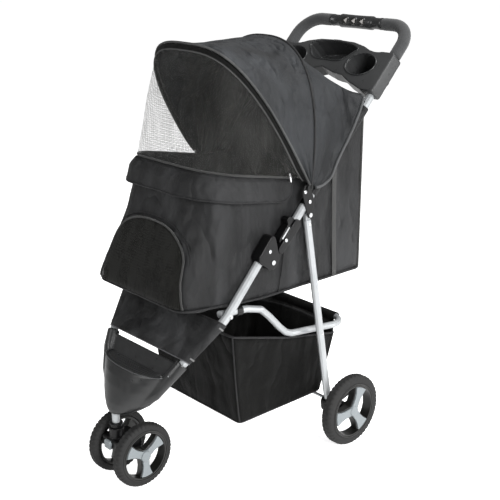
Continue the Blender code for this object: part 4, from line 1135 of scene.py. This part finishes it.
def lathe_path(name, path, radii, material, count=24):
    """A round body along a path, with a radius at each point of it."""
    bm = bmesh.new()
    rings = []
    for i, (p, radius) in enumerate(zip(path, radii)):
        before, after = path[max(i - 1, 0)], path[min(i + 1, len(path) - 1)]
        forward = (after - before).normalized()
        normal = UP if abs(forward.dot(UP)) < 0.9 else ALONG
        side = forward.cross(normal).normalized()
        ring = []
        for a in full_turn(count):
            ring.append(bm.verts.new(p + side * radius * math.cos(a) + normal * radius * math.sin(a)))
        rings.append(ring)
    bridge(bm, rings, caps=True)
    return new_object(name, bm, material, 60)


def build_handle():
    for name, side in SIDES:
        path = along_path(handle_path(side, FOAM_START, FOAM_INNER_X), 60)
        radii = []
        for i in range(60):
            end = min(i, 59 - i)
            taper = 0.90 if end == 0 else 0.975 if end == 1 else 1.0
            radii.append(0.0145 * taper + 0.0002 * math.sin(i * 2.1))
        foam = lathe_path("foam_sleeve_" + name, path, radii, MATERIALS["foam"])
        finished(foam, "handle", "foam", "foam_grip_" + name)
    half = 0.082
    stations = [(-half, 0.0120), (-0.0812, 0.0136), (-0.0790, 0.0142), (-0.0745, 0.0142), (-0.0735, 0.0134)]
    stations += [(-0.0560, 0.0134), (-0.0520, 0.0140), (-0.0495, 0.0158), (-0.0480, 0.0163), (-0.030, 0.0158)]
    profile = stations + [(0, 0.0155)] + [(-a, r) for a, r in stations[::-1]]
    centre = on_handle(0, HANDLE_LENGTH)
    grip = turned("centre_grip_body", profile, centre, MATERIALS["grey_plastic"], Vector((1, 0, 0)), 32)
    finished(grip, "handle", "grey_plastic", "centre_grip")
    # three shallow dark windows with a raised wedge in each, on the face towards the cabin
    face = (-ALONG * 0.52 + UP * 0.85).normalized()
    opening = [(0.0122 * math.cos(a) * (1 - 0.18 * math.cos(a)), 0.0098 * math.sin(a)) for a in full_turn(18)]
    for k, x in enumerate((-0.026, 0.0, 0.026)):
        spot = Vector((x, 0, 0)) + centre + face * 0.0150
        across = Vector((1, 0, 0))
        down = across.cross(face)
        for label, shape, depth, material in (
            ("window", opening, 0.0012, RIM_PLASTIC),
            ("wedge", [(-0.0060, 0.0), (0.0044, -0.0064), (0.0044, 0.0064)], 0.0018, WEDGE),
        ):
            bm = bmesh.new()
            low = [bm.verts.new(spot + across * u + down * v - face * 0.001) for u, v in shape]
            high = [bm.verts.new(spot + across * u * 0.9 + down * v * 0.9 + face * depth) for u, v in shape]
            bridge(bm, [low, high], caps=True)
            finished(new_object(f"grip_{label}_{k}", bm, material, 30), "handle", "grey_plastic")
    rounded("parent_tray", "tray_moulding", "handle", "grey_plastic", 0.0018, 6, TRAY_PLASTIC)
    ovals = [
        [(side * 0.110 + 0.0432 * math.cos(a), 0.3685 + 0.0307 * math.sin(a)) for a in full_turn(48)]
        for side in (1, -1)
    ]
    middle = [(0.0, 0.3695), (0.030, 0.3695), (0.051, 0.377), (0.0675, 0.396)]
    middle += [(0.077, 0.4085), (0.060, 0.4177), (0.030, 0.4228), (0.0, 0.4242)]
    middle += [(-x, s) for x, s in reversed(middle[1:-1])]
    for k, outline in enumerate([*ovals, middle]):
        lip = [on_handle(x, s, 0.0234) for x, s in outline]
        if k == 2:
            lip = smooth_path([*lip, lip[0]], 5)[:-1]
        round_lip = round_section(0.0017, 8)
        ring = sweep(f"tray_rim_{k}", lip, round_lip, MATERIALS["grey_plastic"], closed=True, up=UP)
        finished(ring, "handle", "grey_plastic")


# ---- hinges, brackets and small fittings ----
MOULDED = (("hinge_casing_", "handle"), ("leg_bracket_", "handle"), ("hinge_housing_", "front_frame"),
           ("axle_shoe_", "rear_frame"))


def build_hardware():
    for name, side in SIDES:
        outward = Vector((side, 0, 0))
        for node, body in MOULDED:
            rounded(node + name, node + "cover_" + name, body, "black_plastic", 0.0009, 3)
        rounded("lock_slider_" + name, "lock_lever_" + name, "slider_" + name, "black_plastic", 0.0008, 3)
        rounded("brake_pedal_" + name, "brake_lever_" + name, "brake_" + name, "black_plastic", 0.0010, 4)
        cheek = HANDLE_X + TUBE_R + 0.0030
        for k, (y, z) in enumerate(((0.0318, 0.6301), (0.0462, 0.6055))):
            rivet(f"bracket_rivet_{name}_{k}", side * cheek, y, z, 0.0042, 0.0022, "handle", side)
        spots = (("casing", -0.085, 0.004, "handle"), ("housing", -0.129, 0.0275, "front_frame"))
        for label, s, n, body in spots:
            p = on_handle(0, s, n)
            rivet(f"{label}_rivet_{name}", side * (HANDLE_X + 0.0138), p.y, p.z, 0.0040, 0.0020, body, side)
        slot = [on_handle(side * (HANDLE_X + 0.0105), s, 0.0135) for s in (-0.088, -0.078, -0.066, -0.058)]
        slider = "slider_" + name
        strap("lock_slot_" + name, slot, 0.0042, 0.0016, outward, MATERIALS["steel"], slider, "steel")
        profile = [(0, 0.0085), (0.003, 0.0095), (0.010, 0.0090), (0.013, 0.006)]
        place = Vector((side * 0.1755, REAR_WHEEL.y, REAR_WHEEL.z))
        knob = turned("brake_knob_" + name, profile, place, MATERIALS["black_plastic"], outward, 20)
        finished(knob, "rear_frame", "black_plastic")
        for k, (y, z) in enumerate(((0.0880, 0.2870), (0.0510, 0.5520))):
            t = (LEG_PIVOT.z - z) / (LEG_PIVOT.z - 0.108)
            x = 0.169 + (0.188 - 0.169) * t + LEG_R * 0.96
            rivet(f"leg_rivet_{name}_{k}", side * x, y, z, 0.0032, 0.0014, "rear_frame", side)
        nut_x = side * (HANDLE_X + TUBE_R * 0.97)
        rivet("link_nut_" + name, nut_x, -0.1780, 0.3950, 0.0038, 0.0018, "front_frame", side)
    profile = [(0, 0.0110), (0.001, 0.0128), (0.006, 0.0128), (0.0075, 0.0150), (0.010, 0.0150)]
    profile.append((0.011, 0.0105))
    collar = turned("swivel_collar", profile, Vector((0, -0.3585, 0.1360)), MATERIALS["black_plastic"],
                    Vector((0, 0, 1)), 24)
    finished(collar, "caster", "black_plastic")
    rounded("caster_fork", "caster_moulding", "caster", "black_plastic", 0.0011, 4)
    rounded("swivel_lock", "swivel_lock_tab", "swivel_lock", "pale_trim", 0.0007, 3, keep=0.4)


# ---- wheels ----
def build_tyre(label, body, centre, radius, ring, width):
    """A tyre with staggered shoulder blocks and a groove between them."""
    half = width / 2
    inner = ring + 0.0052
    profile = [(-half * 0.92, inner), (-half, inner + 0.002), (-half, radius - 0.010)]
    profile += [(-half * 0.95, radius - 0.0065), (-half * 0.84, radius - 0.0035)]
    profile += [(-half * 0.66, radius - 0.0012), (-half * 0.40, radius), (-half * 0.12, radius)]
    profile += [(-x, r) for x, r in profile[::-1]]
    blocks = 44
    steps = blocks * 4
    bm = bmesh.new()
    rings = []
    for k in range(steps):
        angle = 2 * math.pi * k / steps
        ring_verts = []
        for x, r in profile:
            phase = (k / 4 + (0.5 if x > 0 else 0.0)) % 1.0
            cut = phase < 0.25 and abs(x) > half * 0.30 and r > radius - 0.008
            groove = abs(x) < half * 0.2 and r > radius - 0.001
            shoulder = abs(x) > half * 0.6 and r > radius - 0.008
            wide = 0.0011 * math.sin(k * 1.7 + (2 if x > 0 else 0)) if shoulder else 0
            depth = r - (0.0017 if cut else 0.0) - (0.0012 if groove else 0.0)
            spot = Vector((x + wide * 0.3, depth * math.cos(angle), depth * math.sin(angle)))
            ring_verts.append(bm.verts.new(centre + spot))
        rings.append(ring_verts)
    bridge(bm, rings, loop=True)
    tyre = new_object(label + "_tread", bm, MATERIALS["tyre"], 28)
    return finished(tyre, body, "tyre", label + "_tyre")


def build_rim(label, body, centre, ring, width, out, phase):
    """Rim with a stepped groove, dark forked spokes and a pale flared insert on each."""
    half = width / 2
    inner, seat = ring - 0.0012, ring + 0.0036
    profile = [(-half * 0.9, inner), (-half * 0.9, seat), (half * 0.9, seat), (half * 0.9, ring + 0.0052)]
    profile += [(half * 1.02, ring + 0.0052), (half * 1.02, ring + 0.0036), (half * 0.90, ring + 0.0030)]
    profile += [(half * 0.90, ring + 0.0014), (half * 1.0, ring + 0.0010), (half * 0.98, inner)]
    profile = [(out * x, r) for x, r in profile]
    bm = bmesh.new()
    rings = [
        [bm.verts.new(centre + Vector((x, r * math.cos(a), r * math.sin(a)))) for x, r in profile]
        for a in full_turn(72)
    ]
    bridge(bm, rings, loop=True)
    hoop = new_object(label + "_hoop", bm, RIM_PLASTIC, 35)

    def star(name, reach, hub, far, x_low, x_high, material, bevel):
        """One outline round all three flared arms, so that the hollows between them are round."""
        outline = []
        for k in range(3):
            base = math.radians(phase + 120 * k)
            d = Vector((math.cos(base), math.sin(base)))
            w = Vector((-math.sin(base), math.cos(base)))
            span = math.asin(min(far / reach, 1))
            waist = hub * 0.86
            flare, tip = waist + (far - waist) * 0.30, reach * math.cos(span)
            outline += [d * (reach * 0.48) - w * waist, d * (reach * 0.70) - w * flare, d * tip - w * far]
            for s in (-span * 0.5, 0, span * 0.5):
                outline.append(Vector((reach * math.cos(base + s), reach * math.sin(base + s))))
            outline += [d * tip + w * far, d * (reach * 0.70) + w * flare, d * (reach * 0.48) + w * waist]
            turn = base + math.pi / 3
            hollow = hub * 1.05
            outline.append(Vector((hollow * math.cos(turn), hollow * math.sin(turn))))
        bm = bmesh.new()
        lows = [bm.verts.new(centre + Vector((x_low, p.x, p.y))) for p in outline]
        highs = [bm.verts.new(centre + Vector((x_high, p.x, p.y))) for p in outline]
        bridge(bm, [lows, highs], caps=True)
        obj = new_object(name, bm, material, 35)
        edge = obj.modifiers.new("edge", "BEVEL")
        edge.width = bevel
        edge.segments = 2
        edge.limit_method = "ANGLE"
        edge.angle_limit = math.radians(50)
        return baked(obj)

    scale = ring / 0.0615
    face, outward = half * 0.98, Vector((out, 0, 0))
    spokes = star(label + "_spokes", inner + 0.002, 0.0142 * scale, 0.0205 * scale,
                  out * -half * 0.55, out * half * 0.74, RIM_PLASTIC, 0.0008)
    insert = star(label + "_insert", inner - 0.0022, 0.0108 * scale, 0.0168 * scale,
                  out * half * 0.70, out * (face + 0.0012), MATERIALS["pale_trim"], 0.0009)
    profile = [(half * 0.7, 0.0130), (face + 0.001, 0.0130), (face + 0.0030, 0.0118), (face + 0.0036, 0.0080)]
    profile.append((face + 0.0036, 0.001))
    cap = turned(label + "_cap", profile, centre.copy(), MATERIALS["pale_trim"], outward, 28)
    profile = [(-face, 0.011), (-face, 0.0150), (half * 0.7, 0.0150), (half * 0.7, 0.009)]
    hub = turned(label + "_hub", profile, centre.copy(), RIM_PLASTIC, outward, 28)
    finished(hoop, body, "black_plastic", label + "_rim")
    finished(spokes, body, "black_plastic")
    finished(hub, body, "black_plastic")
    finished(insert, body, "pale_trim", label + "_trim")
    finished(cap, body, "pale_trim")


def build_wheels():
    for name, side in SIDES:
        for kind, place, radius, ring, width, phase in (
            ("rear", REAR_WHEEL, REAR_R, REAR_RING_R, REAR_WIDTH, 65),
            ("front", FRONT_WHEEL, FRONT_R, FRONT_RING_R, FRONT_WIDTH, 32),
        ):
            centre = Vector((side * place.x, place.y, place.z))
            label = f"{kind}_wheel_{name}"
            build_tyre(label, label, centre, radius, ring, width)
            build_rim(label, label, centre, ring, width, side, phase)


build_basket()
build_calf_panel()
build_footrest()
build_handle()
build_hardware()
build_wheels()


# ---- floor, lights and camera ----
def stage():
    bm = bmesh.new()
    size = 14.0
    corners = ((-size, -size), (size, -size), (size, size), (-size, size))
    ring = [bm.verts.new((x, y, -0.0005)) for x, y in corners]
    bm.faces.new(ring)
    n = Nodes("pale_floor", roughness=0.9)
    n.colour(n.mix(n.ramp(n.noise(2.0, 2.0), 0.2, 0.8), rgb(0.90, 0.90, 0.90), rgb(0.94, 0.94, 0.94)))
    seen = n.add("ShaderNodeLightPath").outputs["Is Camera Ray"]
    n.feed(n.shader.inputs["Emission Color"], rgb(1.0, 1.0, 1.0))
    n.feed(n.shader.inputs["Emission Strength"], n.ramp(seen, 0.0, 1.0, 0.16, 0.80))
    new_object("floor", bm, n.material, 0)


def lamp(name, place, target, size, power):
    light = bpy.data.lights.new(name, "AREA")
    light.shape = "RECTANGLE"
    light.size, light.size_y = size
    light.energy = power
    obj = bpy.data.objects.new(name, light)
    obj.location = place
    obj.rotation_euler = (Vector(target) - Vector(place)).to_track_quat("-Z", "Y").to_euler()
    bpy.context.scene.collection.objects.link(obj)


WORLD_LIGHT, WORLD_SEEN = 0.24, 1.0  # the white world as a light, and as the camera sees it
CAMERA_PLACE, CAMERA_LENS = (1.624, -1.427, 1.1677), 70.78
CAMERA_FORWARD, CAMERA_RIGHT = (-0.7066, 0.6359, -0.3104), (0.6689, 0.7433, 0.0)


def light_and_camera():
    scene = bpy.context.scene
    scene.view_settings.view_transform = "Standard"
    world = bpy.data.worlds.new("studio")
    world.use_nodes = True
    tree = world.node_tree
    paper = tree.nodes["Background"]
    paper.inputs["Color"].default_value = rgb(1.0, 1.0, 1.0)
    seen = tree.nodes.new("ShaderNodeLightPath")
    level = tree.nodes.new("ShaderNodeMapRange")
    level.inputs["To Min"].default_value = WORLD_LIGHT
    level.inputs["To Max"].default_value = WORLD_SEEN
    tree.links.new(seen.outputs["Is Camera Ray"], level.inputs["Value"])
    tree.links.new(level.outputs[0], paper.inputs["Strength"])
    scene.world = world
    target = (0, 0, 0.5)
    lamp("key", (2.6, -0.7, 1.7), target, (1.0, 1.0), 127.8)
    lamp("front", (-0.6, -2.6, 1.9), target, (1.0, 1.4), 36.92)
    lamp("top", (0.8, 1.2, 2.8), target, (1.2, 1.2), 65.32)
    lamp("rim", (2.2, 2.0, 1.4), target, (0.6, 1.8), 42.6)
    camera = bpy.data.cameras.new("camera")
    camera.sensor_width = 36
    camera.lens = CAMERA_LENS
    camera.clip_end = 60
    obj = bpy.data.objects.new("camera", camera)
    forward = Vector(CAMERA_FORWARD).normalized()
    right = Vector(CAMERA_RIGHT).normalized()
    up = right.cross(forward)
    place = Matrix((right, up, -forward)).transposed().to_4x4()
    place.translation = Vector(CAMERA_PLACE)
    obj.matrix_world = place
    scene.collection.objects.link(obj)
    scene.camera = obj


stage()
light_and_camera()
